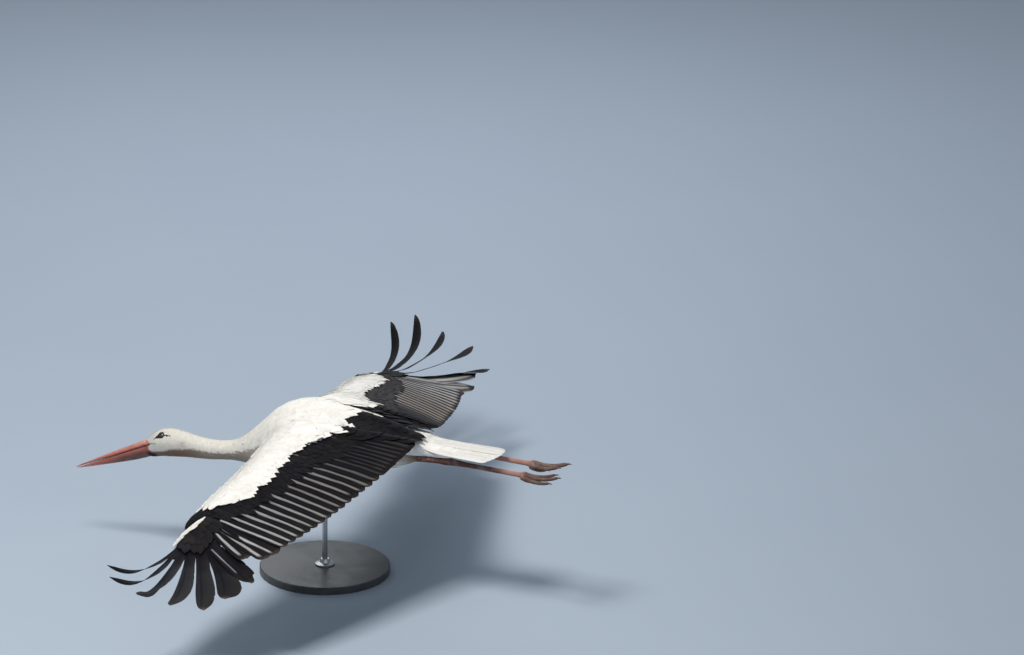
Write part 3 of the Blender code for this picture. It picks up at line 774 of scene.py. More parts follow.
# The bill's own upward direction, and how far its gape line lies above the CAD nodes' at the base.
BILL_PITCH = math.radians(23.5)
BILL_UP = np.array((0.0, -math.sin(BILL_PITCH), math.cos(BILL_PITCH)))
GAPE_RISE = 0.0064
# The eye shows a little above and behind its CAD node.
SEEN_EYE = EYE + (0, 0.0022, 0.0024)
EYE_SPOT, EYE_NORMAL = (found[0] for found in onto_body(SEEN_EYE[None]))

# The span is measured as a share of the way from the shoulder to the wrist, where the alula starts.
SHOULDER_X = node_box("wing_arm_left")[0][0] + 0.018
WRIST_X = HAND_LOW[0]

# Span shares, and the chord shares there where the white coverts end and where the black ones end.
WHITE_END = ((-0.2, 0.0, 0.19, 0.31, 0.58, 0.81, 0.90, 0.94, 0.96, 1.0),
             (0.55, 0.54, 0.40, 0.37, 0.385, 0.37, 0.28, 0.15, 0.05, 0.0))
BLACK_END = ((-0.2, 0.0, 0.2, 0.36, 0.53, 0.70, 0.90, 0.95, 1.0, 1.25),
             (0.78, 0.74, 0.66, 0.585, 0.557, 0.525, 0.50, 0.47, 0.38, 0.375))


def on_span(x, table):
    """What a table by span shares says at x."""
    return np.interp((x - SHOULDER_X) / (WRIST_X - SHOULDER_X), *table)


# ---------------------------------------------------------------- flight feathers

# The share of each primary finger's length that its slanting root takes up, from the wing outward.
FINGERS = {"04": 0.50, "05": 0.22, "06": 0.10, "07": 0.04, "08": 0.03, "09": 0.03, "10": 0.03}
# How far two fingers' leading and trailing edges lie behind the CAD node's, as shares of its width.
SHIFTED = {"04": (0.12, 0.30), "05": (0.12, 0.30)}
# How far the right wing's fingers roll their leading edges down, so that the camera sees them edge on.
ROLLED = {"06": 0.55, "07": 0.50, "08": 0.40}
# The right wing's inner fingers lie closer together: neighbour, share of its path, reach.
CLOSED = {"04": ("05", 0.50, 0.96), "05": ("06", 0.50, 0.90), "06": ("05", 0.25, 1.02)}
# The width of the broad inner fingers, and the share of any finger's width before its quill.
BROAD = 0.054
QUILL = 0.30
# Cuts across a finger's node, and the places of its path that lie hidden under the coverts.
FINGER_CUTS = 26
HIDDEN_CUTS = 9
INNER_PRIMARIES = 3
SECONDARIES = 15
TERTIALS = 8
TAIL_FEATHERS = 12
# Shares of a flight feather's length where its rows lie, closer together towards the tip.
ROW_SHARES = 1 - (1 - np.linspace(0, 1, 40)) ** 1.15


def finger_rails(number):
    """The leading and trailing edge of a finger's node, from its root to its tip, and that tip."""
    points, faces = cad_mesh("primary_" + number + "_left")
    # A place in the hand that all fingers point away from.
    hub = (HAND_HIGH[0] - 0.06, chord_y(0.55, 0.5))
    away = np.linalg.norm(points[:, :2] - hub, axis=1)
    far = points[np.argmax(away)]
    near = points[away < away.min() + 0.12 * np.ptp(away)].mean(0)
    direction = unit(far - near)
    reach = (points - near) @ direction
    forward = np.array((direction[1], -direction[0], 0))
    rails = []
    for share in np.linspace(FINGERS[number], 0.985, FINGER_CUTS):
        ring = cut_points(points, faces, near + direction * (reach.max() * share), direction)
        if len(ring) > 1:
            side = (ring - ring.mean(0)) @ forward
            rails.append((ring[np.argmax(side)], ring[np.argmin(side)]))
    leads, trails = np.array(rails).swapaxes(0, 1)
    return relax(leads, 2), relax(trails, 2), far


def finger_line(number):
    """Path, leading side and width of one finger at its rows, run back under the coverts."""
    leads, trails, far = finger_rails(number)
    if number in SHIFTED:
        lead_shift, trail_shift = SHIFTED[number]
        gap = trails - leads
        leads, trails = leads + lead_shift * gap, trails + trail_shift * gap
    path = np.concatenate([leads * (1 - QUILL) + trails * QUILL, [far]])
    widths = np.append(np.linalg.norm(leads - trails, axis=1), 0.006 if number == "08" else 0.002)
    across = unit(np.concatenate([leads - trails, leads[-1:] - trails[-1:]]))
    back = path[0] - unit(path[2] - path[0]) * np.linspace(0.105, 0.012, HIDDEN_CUTS)[:, None]
    back[:, 2] = WING_TOP.at(back[:, 0], back[:, 1])[0][:, 2] - 0.0005
    path = relax(np.concatenate([back, path]), 16 if number == "04" else 3)
    widths = np.concatenate([np.linspace(0.85, 1.0, HIDDEN_CUTS) * widths[0], widths])
    across = np.concatenate([np.repeat(across[:1], HIDDEN_CUTS, 0), across])
    shares = distance_along(path)
    shares /= shares[-1]
    across = unit(interp_rows(ROW_SHARES, shares, across))
    return interp_rows(ROW_SHARES, shares, path), across, np.interp(ROW_SHARES, shares, widths)


def finger_vane(number, side):
    """Path, leading side and half widths of one finger."""
    path, across, widths = finger_line(number)
    if number in ("09", "10"):
        widths = widths * (0.60 + 0.40 * smooth_step(0.1, 0.55, ROW_SHARES))
    roll = 0.8 * smooth_step(0.78, 0.95, ROW_SHARES) * (number == "08")
    if side < 0:
        roll = -ROLLED.get(number, 0.0) * (1 - smooth_step(0.55, 0.95, ROW_SHARES))
        widths = widths * (0.78 if number in ROLLED else 1.0)
    if side < 0 and number in CLOSED:
        neighbour, share, reach = CLOSED[number]
        path = path * (1 - share) + finger_line(neighbour)[0] * share
        path = path[0] + (path - path[0]) * reach
    if number == "04" or (side < 0 and number == "05"):
        # A broad vane with a round end.
        across = np.broadcast_to(unit(across.mean(0)), across.shape)
        widths = BROAD * (0.7 + 0.3 * smooth_step(0, 0.5, ROW_SHARES))
        widths = widths * (1 - smooth_step(0.66, 1.0, ROW_SHARES) ** 2) ** 0.5 + 0.002
    across = unit(across + roll[:, None] * (0, 0, 1.0))
    return path, across, widths * QUILL, widths * (1 - QUILL)


def sheet_vane(tip, heading, length, lead, trail, bow, sheet, lift):
    """A feather that lies on a sheet: tip (x, y), heading at the tip, and how much it turns on the way."""
    s = ROW_SHARES
    turn = heading + bow * (1 - s)
    way = np.stack([np.sin(turn), np.cos(turn)], -1)
    path = np.cumsum(way * np.diff(s, prepend=0)[:, None] * length, axis=0)
    path = path - path[-1] + tip
    places, normals = sheet.at(path[:, 0], path[:, 1])
    across = unit(np.cross(unit(np.gradient(places, axis=0)), normals))
    widen = 0.6 + 0.4 * smooth_step(0.0, 0.4, s)
    lead_tip = (1 - np.clip((s - 0.90) / 0.10, 0, 1) ** 2.0) ** 0.5
    trail_tip = (1 - np.clip((s - 0.84) / 0.16, 0, 1) ** 2.2) ** 0.5
    rise = 0.25 + 0.75 * smooth_step(0.1, 0.6, s)
    places = places + normals * (lift * rise)[:, None]
    return places, across, lead * widen * lead_tip + 0.0008, trail * widen * trail_tip + 0.0008, normals


def flight_tint(feather, stripe, bright, rng, tip_start, worn, wide=0.0):
    """Black vane with a silver-grey outer web that fades before a dark tip, worn brown at the end."""
    s, t = feather[3:]
    first, second, third = rng.uniform(0, 2 * math.pi, 3)
    inner = 0.11 + 0.03 * np.sin(13 * s + first)
    outer = 0.52 + wide + 0.06 * np.sin(9 * s + second)
    web = smooth_step(inner, inner + 0.05, t) * (1 - smooth_step(outer, outer + 0.12, t))
    streak = 0.80 + 0.20 * np.sin(15 * t + third + 2.5 * np.sin(7 * s + second))
    silver = web * streak * (1 - smooth_step(tip_start - 0.05, tip_start + 0.03, s)) * stripe
    color = mix(BLACK, BROWN_BLACK, smooth_step(0.55, 1.0, s) * 0.6)
    color = mix(color, WORN, smooth_step(0.90, 1.0, s) * worn)
    return mix(color, bright, np.clip(silver, 0, 1))


def add_flight(vanes, feather, tint, index, count, side, below=BLACK):
    """Adds a flight feather, the index-th of so many that share the bake map in strips."""
    places, normals, measures, s, t = feather
    maps = np.stack([(index + 0.5 + 0.44 * t) / count, s, 0 * s, 0 * s], -1)
    parts = (part[None] for part in (places, normals, tint, measures, maps))
    vanes.add(*parts, side, FLIGHT_THICK, below=below)


def build_primaries(name, side, paint, rng):
    """Seven fingers from the front back, then the inner primaries that close the gap to the secondaries."""
    vanes = Vanes()
    total = len(FINGERS) + INNER_PRIMARIES
    for index, number in enumerate(reversed(FINGERS)):
        path, across, lead, trail = finger_vane(number, side)
        forward = unit(np.gradient(path, axis=0))
        normal = unit(np.cross(across, forward))
        across = unit(np.cross(forward, normal))
        path = path - normal * (0.0006 * (total - index) / total)
        feather = flight_vane(path, across, lead, trail, normal, rng, tilt=0.0006)
        s, t = feather[3:]
        stripe = 0.60 if number == "04" else 0.0
        worn = 0.9 if number in ("04", "05", "06") else 0.35
        # The right wing's wider silver webs are painted sheen.
        wide = -0.18 if side > 0 else 0.20
        tint = flight_tint(feather, stripe, SILVER, rng, tip_start=0.62, worn=worn, wide=wide)
        tint = mix(tint, BROWN_BLACK, smooth_step(0.2, 1.0, -t) * 0.8)
        # Silver bars on the right wing's broad fingers: painted sheen.
        if side < 0 and number in ("04", "05"):
            bars = smooth_step(-0.5, 0.3, np.sin(12.5 * t + 1.2 + 0.5 * np.sin(5 * s)))
            tint = mix(tint, SILVER, 0.9 * bars * (1 - smooth_step(0.80, 0.90, s)))
        add_flight(vanes, feather, tint, index, total, side)
    inner_end = node_box("primaries_inner_left")[1][0]
    for index, (inward, ahead) in enumerate(((0.046, 0.032), (0.060, 0.0), (0.084, -0.004))):
        share = index / (INNER_PRIMARIES - 1)
        x = inner_end - inward
        heading = math.radians(29 - 16 * share)
        length = 0.165 + 0.035 * share
        vane = sheet_vane((x, trail_y(x) - ahead), heading, length, lead=0.018, trail=0.036,
                          bow=math.radians(4), sheet=WING_TOP, lift=0.0005 * index - 0.0014)
        feather = flight_vane(*vane, rng)
        # Wider silver webs on the right wing: painted sheen.
        wide = 0.10 * share - (0.14 if side > 0 else -0.30)
        tint = flight_tint(feather, 1.0, SILVER, rng, tip_start=0.86 + 0.05 * share, worn=0.6, wide=wide)
        add_flight(vanes, feather, tint, len(FINGERS) + index, total, side)
    nodes = ["primary_" + number + "_" + name for number in FINGERS] + ["primaries_inner_" + name]
    return vanes.piece("primaries_" + name + "_vanes", paint, "black_feathers", *nodes)


def build_secondaries(name, side, paint, rng):
    """The wing's trailing feathers, whose silver webs fade to grey towards the body."""
    vanes = Vanes()
    # The right wing's paler, wider webs are painted sheen.
    near, inner = (SILVER, GREY) if side > 0 else (SHEEN_SILVER, SHEEN_BEIGE)
    for index in range(SECONDARIES):
        share = (index + 0.5) / SECONDARIES
        x = SECONDARY_HIGH[0] - share * (SECONDARY_HIGH[0] - SECONDARY_LOW[0])
        heading = math.radians(np.interp(share, (0, 0.35, 1), (7, 0, -8)))
        length = 0.72 * (trail_y(x) - lead_y(x))
        vane = sheet_vane((x, trail_y(x) + 0.003), heading, length, lead=0.0145, trail=0.029,
                          bow=math.radians(2), sheet=WING_TOP, lift=0.0010)
        feather = flight_vane(*vane, rng)
        stripe = np.interp(share, (0, 0.8, 0.95), (1.0, 0.9, 0.15)) * rng.uniform(0.8, 1.0)
        bright = mix(near, inner, smooth_step(0.05, 0.6, share))
        tip_start = 0.93 + 0.02 * rng.normal()
        wide = 0.0 if side > 0 else 0.50
        tint = flight_tint(feather, stripe, bright, rng, tip_start, worn=0.25, wide=wide)
        add_flight(vanes, feather, tint, index, SECONDARIES + TERTIALS, side)
    return vanes.piece("secondaries_" + name + "_vanes", paint, "black_feathers", "secondaries_" + name)


def build_tertials(name, side, paint, rng):
    """The innermost feathers of the wing, which lie on the back."""
    vanes = Vanes()
    body_end = node_box("tertials_left")[0][0]
    for index in range(TERTIALS):
        share = (index + 0.5) / TERTIALS
        x = SECONDARY_LOW[0] + 0.006 - share * (SECONDARY_LOW[0] - body_end - 0.004)
        vane = sheet_vane((x, trail_y(x) + 0.001), math.radians(-7 - 3 * share), 0.18, lead=0.016,
                          trail=0.026, bow=math.radians(2), sheet=BACK, lift=0.0012 + 0.0003 * index)
        feather = flight_vane(*vane, rng)
        tint = flight_tint(feather, 0.12, GREY, rng, tip_start=0.9, worn=0.1)
        add_flight(vanes, feather, tint, index, TERTIALS, side)
    return vanes.piece("tertials_" + name + "_vanes", paint, "black_feathers", "tertials_" + name)


def build_tail(paint, rng):
    """Twelve tail feathers, the middle pair on top, spread to a slightly rounded end."""
    vanes = Vanes()
    half = (TAIL_HIGH[0] - TAIL_LOW[0]) / 2
    for index in range(TAIL_FEATHERS):
        rank = index // 2
        place = (rank + 0.5) / (TAIL_FEATHERS / 2)
        tip = (place * (half - 0.009), TAIL_HIGH[1] - 0.026 * place**2)
        vane = sheet_vane(tip, math.radians(3 * place), 0.185, lead=0.012, trail=0.019, bow=0, sheet=BACK,
                          lift=0.0012 - 0.0005 * rank)
        feather = flight_vane(*vane, rng, tilt=-0.0004)
        places, _, measures, _, t = feather
        places[..., 2] -= tail_droop(places)
        tint = mix(WHITE * rng.uniform(0.86, 0.94), CREAM, 0.3 * smooth_step(0.5, 1, np.abs(t)))
        tint = mix(tint, SHADED, 0.5 * bell(measures[..., 0], 0.0012))
        add_flight(vanes, feather, tint, index, TAIL_FEATHERS, 1.0 if index % 2 else -1.0, below=None)
    return vanes.piece("tail_vanes", paint, "white_feathers", "tail")


# ---------------------------------------------------------------- coverts


def covert_row(xs, tip_y, length, width, heading, rng, jitter=0.12, mess=1.0):
    """Roots, headings, lengths and widths of one row of coverts, from where its tips lie."""
    count = len(xs)
    xs = xs + rng.normal(size=count) * width * jitter
    tip_y = tip_y + rng.normal(size=count) * length * 0.07 * mess
    lengths = length * (1 + 0.08 * rng.normal(size=count))
    turn = heading + np.radians(4) * mess * rng.normal(size=count)
    roots = np.stack([xs - np.sin(turn) * lengths, tip_y - np.cos(turn) * lengths], -1)
    return roots, turn, lengths, np.full(count, width) * (1 + 0.06 * rng.normal(size=count))


def add_coverts(vanes, surface, row, tint, rng, **looks):
    """Adds one row of coverts: roots, headings, lengths and widths."""
    roots, turn, lengths, widths = row
    scale = np.ones((len(roots), 2))
    add_small(vanes, surface, roots, scale, turn, lengths, widths, tint, rng, thick=COVERT_THICK, **looks)


def arm_heading(x):
    """Coverts lie along the flight feathers: inward at the elbow, outward past the wrist."""
    return np.radians(np.interp(x, (SHOULDER_X, 0.30, WRIST_X, HAND_HIGH[0]), (-7, -2, 9, 42)))


def white_tint(count, rng):
    """White plumage, each feather a little warmer or cooler than the next."""
    warm = rng.random(count)
    light = 1 + 0.035 * rng.normal(size=(count, 1))
    return np.clip(mix(WHITE, CREAM, warm * 0.22) * light, 0, 0.9)


def black_tint(count, rng, brown=0.25):
    return mix(BLACK, BROWN_BLACK, np.clip(brown + 0.2 * rng.normal(size=count), 0, 1))


def lesser_coverts(name, side, paint, rng, under=False):
    """White coverts from the leading edge back: small at the front, larger towards the black ones."""
    vanes = Vanes()
    sheet, closeness, spacing, end_x = WING_TOP, 0.27, 0.55, WRIST_X - 0.020
    if under:
        sheet, closeness, spacing, end_x = WING_UNDER, 0.40, 0.66, HAND_HIGH[0] - 0.03
    fractions = [0.02]
    sizes = [0.011]
    while fractions[-1] < 1.0:
        sizes.append(np.interp(fractions[-1], (0, 0.5, 1), (0.012, 0.024, 0.044)))
        fractions.append(fractions[-1] + sizes[-1] * closeness / 0.115)
    for fraction, size in zip(np.array(fractions) / fractions[-1], sizes):
        over = 0.0 if under else float(smooth_step(0.45, 0.9, fraction))
        width = 0.56 * size
        xs = np.arange(SHOULDER_X - 0.01, end_x, width * spacing) + rng.random() * width
        ends = on_span(xs, WHITE_END)
        if under:
            ends = np.interp(xs, (SHOULDER_X, WRIST_X, end_x), (0.5, 0.44, 0.40))
        room = chord_y(xs, ends) - lead_y(xs)
        tip_y = lead_y(xs) + 0.004 + fraction * (room - 0.004)
        keep = (room > 0.010) & ((xs > SHOULDER_X + 0.018) | (tip_y < chord_y(xs, 0.50)))
        xs, tip_y, room = xs[keep], tip_y[keep], room[keep]
        row = covert_row(xs, tip_y, size * np.clip(room / 0.10, 0.35, 1), width, arm_heading(xs), rng)
        add_coverts(vanes, sheet, row, white_tint(len(xs), rng), rng, side=side, blunt=0.85,
                    lift=(-0.0016 + 0.0028 * over, 0.0006 + 0.0042 * over), flip=under, camber=0.06)
    label = "lining_" if under else "lesser_coverts_"
    return vanes.piece(label + name, paint, "white_feathers")


def greater_coverts(name, side, paint, rng):
    """Four rows of black coverts. The hindmost tips reach the line where the grey webs show."""
    vanes = Vanes()
    # The right wing's coverts are lightened with painted sheen.
    sheen_share = 0.0 if side > 0 else 0.4
    rows = ((0.0, 0.075, 0.021), (0.016, 0.062, 0.019), (0.030, 0.050, 0.017), (0.042, 0.042, 0.016))
    for rank, (ahead, length, width) in enumerate(rows):
        xs = np.arange(SHOULDER_X + 0.005, WRIST_X + 0.012, 0.0090) + 0.0035 * rank
        tip_y = chord_y(xs, on_span(xs, BLACK_END)) - ahead
        row = covert_row(xs, tip_y, length, width, arm_heading(xs), rng, 0.06)
        tint = mix(black_tint(len(xs), rng), COVERT_SHEEN, sheen_share)
        add_coverts(vanes, BACK, row, tint, rng, side=side, blunt=0.7, lift=(-0.0022, 0.0030 + 0.0002 * rank),
                    camber=0.12, rag=0.03, edge=RIM, grid=LARGE)
    return vanes.piece("greater_coverts_" + name, paint, "black_feathers")


def hand_coverts(name, side, paint, rng):
    """Dark primary coverts that fan with the primaries, and a black alula."""
    vanes = Vanes()
    spots = (0, 0.2, 0.45, 0.7, 0.85, 1)
    rows = ((13, 0.0, 0.088, 0.027), (10, 0.030, 0.064, 0.026))
    for rank, (count, ahead, length, width) in enumerate(rows):
        share = np.linspace(0, 1, count)
        turn = np.radians(np.interp(share, (0, 0.3, 0.6, 1), (11, 28, 62, 88)))
        tip_x = WRIST_X + np.interp(share, spots, (0.035, 0.070, 0.110, 0.142, 0.148, 0.136))
        tip_y = lead_y(tip_x) + np.interp(share, spots, (0.090, 0.080, 0.078, 0.064, 0.038, 0.014))
        way = np.stack([np.sin(turn), np.cos(turn)], -1)
        roots = np.stack([tip_x, tip_y], -1) - way * (ahead + length)
        row = (roots, turn, length * rng.uniform(0.9, 1.05, count), np.full(count, width))
        add_coverts(vanes, WING_TOP, row, black_tint(count, rng, 0.5), rng, side=side, blunt=1.0,
                    lift=(0.0, 0.0034 + 0.0008 * rank), camber=0.10, rag=0.02, edge=RIM, grid=LARGE)
    for step, (depth, length) in enumerate(((0.024, 0.050), (0.015, 0.062), (0.007, 0.074))):
        root = (WRIST_X - 0.020, lead_y(WRIST_X) + depth)
        row = [np.array([part]) for part in (root, np.radians(93.0 + step), length, 0.020)]
        add_coverts(vanes, WING_TOP, row, black_tint(1, rng, 0.2), rng, side=side, blunt=0.9,
                    lift=(0.0010, 0.0052 + 0.0006 * step), camber=0.10, rag=0.02, edge=RIM, grid=LARGE)
    return vanes.piece("hand_coverts_" + name, paint, "black_feathers")


def hand_edge(name, side, paint, rng):
    """The hand's white leading edge: a narrow bar that bulges in the middle."""
    vanes = Vanes()
    bar_x = WRIST_X + np.array((0.034, 0.050, 0.064, 0.080, 0.122))
    for rank in np.linspace(1, -1, 5):
        xs = np.arange(bar_x[0], bar_x[-1], 0.0042) + rng.uniform(0, 0.003)
        tip_y = lead_y(xs) + np.interp(xs, bar_x, (0.024, 0.016, 0.008, 0.002, -0.001))
        tip_y = tip_y + rank * np.interp(xs, bar_x, (0.0005, 0.0036, 0.0046, 0.0030, 0.0008))
        heading = np.radians(np.interp(xs, bar_x, (114, 116, 112, 99, 92)))
        row = covert_row(xs, tip_y, 0.020, 0.0070, heading, rng, 0.03)
        add_coverts(vanes, WING_TOP, row, white_tint(len(xs), rng), rng, side=side, blunt=0.8,
                    lift=(0.0030, 0.0058), camber=0.06, rag=0.04)
    return vanes.piece("hand_edge_" + name, paint, "white_feathers")


def scapulars(name, side, black, white, rng):
    """Long feathers over the shoulder: white in front, black behind, with a white strip left between."""
    pale, dark = Vanes(), Vanes()
    turn_black = chord_y(SHOULDER_X + 0.01, 0.54)
    first = TRUNK_LOW[1] + 0.17
    last = TAIL_LOW[1] + 0.006
    y = first
    while y < last:
        share = (y - first) / (last - first)
        length = 0.050 + 0.055 * share
        width = 0.019 + 0.010 * share
        inner = np.interp(y, (turn_black, turn_black + 0.06, last - 0.05, last), (0.006, 0.004, 0.003, 0.008))
        near = float(smooth_step(turn_black - 0.060, turn_black - 0.010, y))
        xs = np.arange(inner + 0.45 * width, 0.125 - 0.075 * share, width * 0.5) + rng.uniform(0, 0.004)
        heading = np.radians(np.interp(xs, (0.0, 0.11), (0, -9)))
        row = covert_row(xs, np.full(len(xs), y), length, width, heading, rng, 0.10, 0.5)
        tips_y = row[0][:, 1] + row[2] * np.cos(row[1])
        is_black = tips_y > turn_black + 0.010 + 0.004 * rng.normal(size=len(xs))
        front = [part[~is_black] for part in row]
        add_coverts(pale, BACK, front, white_tint(len(front[0]), rng), rng, side=side, blunt=0.75,
                    lift=(-0.001, 0.0012 + 0.0054 * near), camber=0.08, rag=0.02, edge=WHITE, grid=LARGE)
        behind = [part[is_black] for part in row]
        add_coverts(dark, BACK, behind, black_tint(len(behind[0]), rng, 0.15), rng, side=side, blunt=1.0,
                    lift=(-0.0026, 0.0066 + 0.0042 * share**2), camber=0.08, rag=0.02, edge=RIM, grid=LARGE)
        y += 0.30 * length * (1 - 0.35 * share)
    pale.piece("scapulars_white_" + name, white, "white_feathers")
    dark.piece("scapulars_black_" + name, black, "black_feathers")


# ---------------------------------------------------------------- the body's coat


def eye_patch(places):
    """1 on the black skin round the eye, which reaches forward and down and has a thin tail behind."""
    _, aft, up = (places - SEEN_EYE).T
    bends = (-0.0230, -0.0150, -0.0080, 0.0, 0.019)
    up = up - np.interp(aft, bends, (-0.0165, -0.0085, -0.0028, 0.0, 0.0028))
    spots = (-0.0240, -0.0195, -0.0150, -0.0090, -0.0040, 0.0040, 0.0090, 0.0180, 0.0200)
    tall = np.interp(aft, spots, (0.0, 0.0007, 0.0022, 0.0052, 0.0064, 0.0060, 0.0018, 0.0009, 0.0))
    beside = np.abs(places[:, 0]) > 0.35 * EYE[0]
    return smooth_step(0.0003, -0.0003, np.abs(up) - tall) * beside * (tall > 0)


def bare_base(places):
    """1 on the bare skin where the bill meets the face: feathers start further back at the gape."""
    _, aft, up = (places - TIP).T
    spots = (0.058, 0.071, 0.078, 0.084, 0.088, 0.092, 0.097)
    edge = np.interp(up, spots, (0.204, 0.199, 0.187, 0.186, 0.190, 0.193, 0.177))
    beside = smooth_step(0.003, 0.010, np.abs(places[:, 0]))
    return smooth_step(0.0015, -0.0015, aft - (0.1762 + beside * (edge - 0.1762)))


def stained_and_shaded(places):
    """1 under the head and neck, where the plumage is stained and darkened further by painted shade, and a
    little behind the ear.
    """
    _, aft, up = (places - TIP).T
    spots = (0.17, 0.199, 0.228, 0.242, 0.275, 0.300)
    cheek = np.interp(aft, spots, (0.073, 0.0753, 0.083, 0.0905, 0.0955, 0.100))
    line = cheek + (middle_z(BODY, places) - TIP[2] - cheek) * smooth_step(0.29, 0.34, aft)
    # Below this line the plumage is darkened: part stain, part painted shade of the head's and neck's
    # undersides.
    low = smooth_step(-0.001, 0.005, line - up) * (1 - smooth_step(0.40, 0.62, aft))
    low = low * np.interp(aft, (0.27, 0.34), (1.0, 0.75))
    return np.clip(0.95 * low + 0.35 * bell(aft - 0.272, 0.010) * bell(up - 0.106, 0.008), 0, 1)


def under_chin(places):
    return smooth_step(0.074, 0.066, places[:, 2] - TIP[2])


def markings_and_shade(tint, places):
    """Body plumage by place: creamy on head and neck, stained and darkened by painted shade below, black
    round the eye and on the chin.
    """
    _, aft, up = (places - TIP).T
    tint = mix(tint, CREAM * 0.95, (1 - smooth_step(0.42, 0.56, aft)) * 0.60)
    # Stain and painted shade under the head and neck.
    tint = mix(tint, STAIN_AND_SHADE, stained_and_shaded(places))
    chin = (1 - smooth_step(0.202, 0.212, aft)) * smooth_step(0.073, 0.066, up)
    return mix(tint, MASK, np.clip(eye_patch(places) + chin, 0, 1))


def coat_length(y):
    """Feather length on the body: tiny on the face, longest on the breast."""
    lengths = (0.0045, 0.0060, 0.0095, 0.014, 0.022, 0.034, 0.036, 0.032)
    return float(np.interp(y - TIP[1], (0.18, 0.215, 0.26, 0.32, 0.42, 0.52, 0.70, 0.90), lengths))


def coat_rows(surface, start, end, sizes):
    """Staggered rings of a barrel from start to end: y, with its turns and their pace.

    Sizes gives the spacing in the ring at y and the step to the next one.
    """
    y = start
    row = 0
    while y < end:
        spacing, step = sizes(y)
        yield y, *ring_turns(surface, y, spacing, 0.5 * (row % 2))
        y += step
        row += 1


def body_coat(name, start, end, paint, rng, slim=0.55, blunt=0.8, camber=0.05, stand=0.0004, grid=(6, 5)):
    """Feathers in staggered rings from start to end, each row over the one behind it."""
    vanes = Vanes()

    def sizes(y):
        return coat_length(y) * slim * 0.54, coat_length(y) * 0.26

    for y, turns, pace in coat_rows(BODY, start, end, sizes):
        length = coat_length(y)
        width = length * slim
        count = len(turns)
        turns = turns + rng.normal(size=count) * 0.12 * width * pace
        ys = y + rng.normal(size=count) * length * 0.10
        places, slope = BODY.with_slope(turns, ys)
        places = left_side(places)
        clear = np.linalg.norm(places + (0, 0.5 * length, 0) - EYE_SPOT, axis=1)
        keep = (clear > EYE_RADIUS * 0.95 + 0.3 * length) & (bare_base(places) < 0.5)
        count = int(keep.sum())
        roots = np.stack([turns, ys], -1)[keep]
        scale = np.stack([pace, 1 / slope], -1)[keep]
        heading = rng.normal(size=count) * np.radians(7)
        tint = markings_and_shade(white_tint(count, rng), places[keep] + (0, 0.4 * length, 0))
        lengths = length * (1 + 0.10 * rng.normal(size=count))
        depth = np.interp(length, (0.005, 0.02), (0.0005, 0.0007))
        add_small(vanes, BODY, roots, scale, heading, lengths, width, tint, rng, blunt=blunt,
                  lift=(-depth, stand), camber=camber, rag=0.05, grid=grid)
    return vanes.piece(name, paint, "white_feathers")


def gape_fold_shade(paint, rng):
    """Painted shade in the fold that runs from the bill's gape back into the face: dark vanes on both sides.
    """
    vanes = Vanes()
    count = 16
    aft = np.linspace(0.173, 0.204, count)
    up = np.interp(aft, (0.173, 0.194, 0.210), (0.0808, 0.0927, 0.0970))
    around = np.linspace(0.1, math.pi - 0.1, 300)
    found = []
    for y, z in zip(aft + TIP[1], up + TIP[2]):
        places = BODY.at(around, np.full(300, y))[0]
        found.append([around[np.argmin(np.abs(places[:, 2] - z))]])
    found = relax(np.array(found), 3)[:, 0]
    pace = ring_turns(BODY, TIP[1] + 0.19, 0.002, 0)[1].mean()
    slope = 0.8
    for side in SIDES.values():
        roots = np.stack([side * found, aft + TIP[1]], -1)
        scale = np.full((count, 2), (pace, slope))
        heading = side * np.arctan2(np.gradient(found) / pace, np.gradient(aft) / slope)
        size = np.interp(aft, (0.173, 0.204), (0.0020, 0.0008))
        add_small(vanes, BODY, roots, scale, heading, 0.007, size, MASK * 1.8, rng, blunt=0.4,
                  lift=(0.0, 0.0006), camber=0.05, rag=0.05)
    return vanes.piece("gape_fold_shade", paint, "black_feathers")


def rump_coat(paint, rng):
    """Upper and under tail coverts, which hide where the trunk ends and the tail starts."""
    vanes = Vanes()
    length, width = 0.058, 0.020
    for y, turns, pace in coat_rows(RUMP, RUMP.ys[0], RUMP.ys[-1] - length, lambda y: (width * 0.45, 0.010)):
        count = len(turns)
        roots = np.stack([turns, y + 0.004 * rng.normal(size=count)], -1)
        scale = np.stack([pace, np.ones(count)], -1)
        heading = rng.normal(size=count) * 0.06
        add_small(vanes, RUMP, roots, scale, heading, length, width, white_tint(count, rng), rng, blunt=0.6,
                  lift=(-0.0012, 0.0008), camber=0.04, rag=0.05, grid=LARGE, thick=COVERT_THICK)
    return vanes.piece("coat_rump", paint, "white_feathers")


def thigh_coat(name, side, paint, rng):
    """The trousers: white feathers that are stained, and darkened by painted shade, towards their lower end.
    """
    vanes = Vanes()
    length, width = 0.026, 0.010
    start, end = THIGH.ys[0] + 0.016, THIGH.ys[-1] - 0.024
    for y, turns, pace in coat_rows(THIGH, start, end, lambda y: (width * 0.55, length * 0.28)):
        count = len(turns)
        roots = np.stack([turns, np.full(count, y)], -1)
        scale = np.stack([pace, 1 / THIGH.with_slope(turns, roots[:, 1])[1]], -1)
        # Towards the lower end the feathers darken: part stain, part painted shade.
        stain_and_shade_share = smooth_step(0.185, 0.240, y + 0.5 * length) * rng.uniform(0.88, 1.0, count)
        tint = mix(white_tint(count, rng), STAIN_AND_SHADE, stain_and_shade_share)
        heading = rng.normal(size=count) * 0.12
        add_small(vanes, THIGH, roots, scale, heading, length, width, tint, rng, blunt=0.6,
                  lift=(-0.0022, 0.0006), camber=0.06, side=side)
    return vanes.piece("thigh_coat_" + name, paint, "white_feathers")


# ---------------------------------------------------------------- skin, bill, legs, eyes


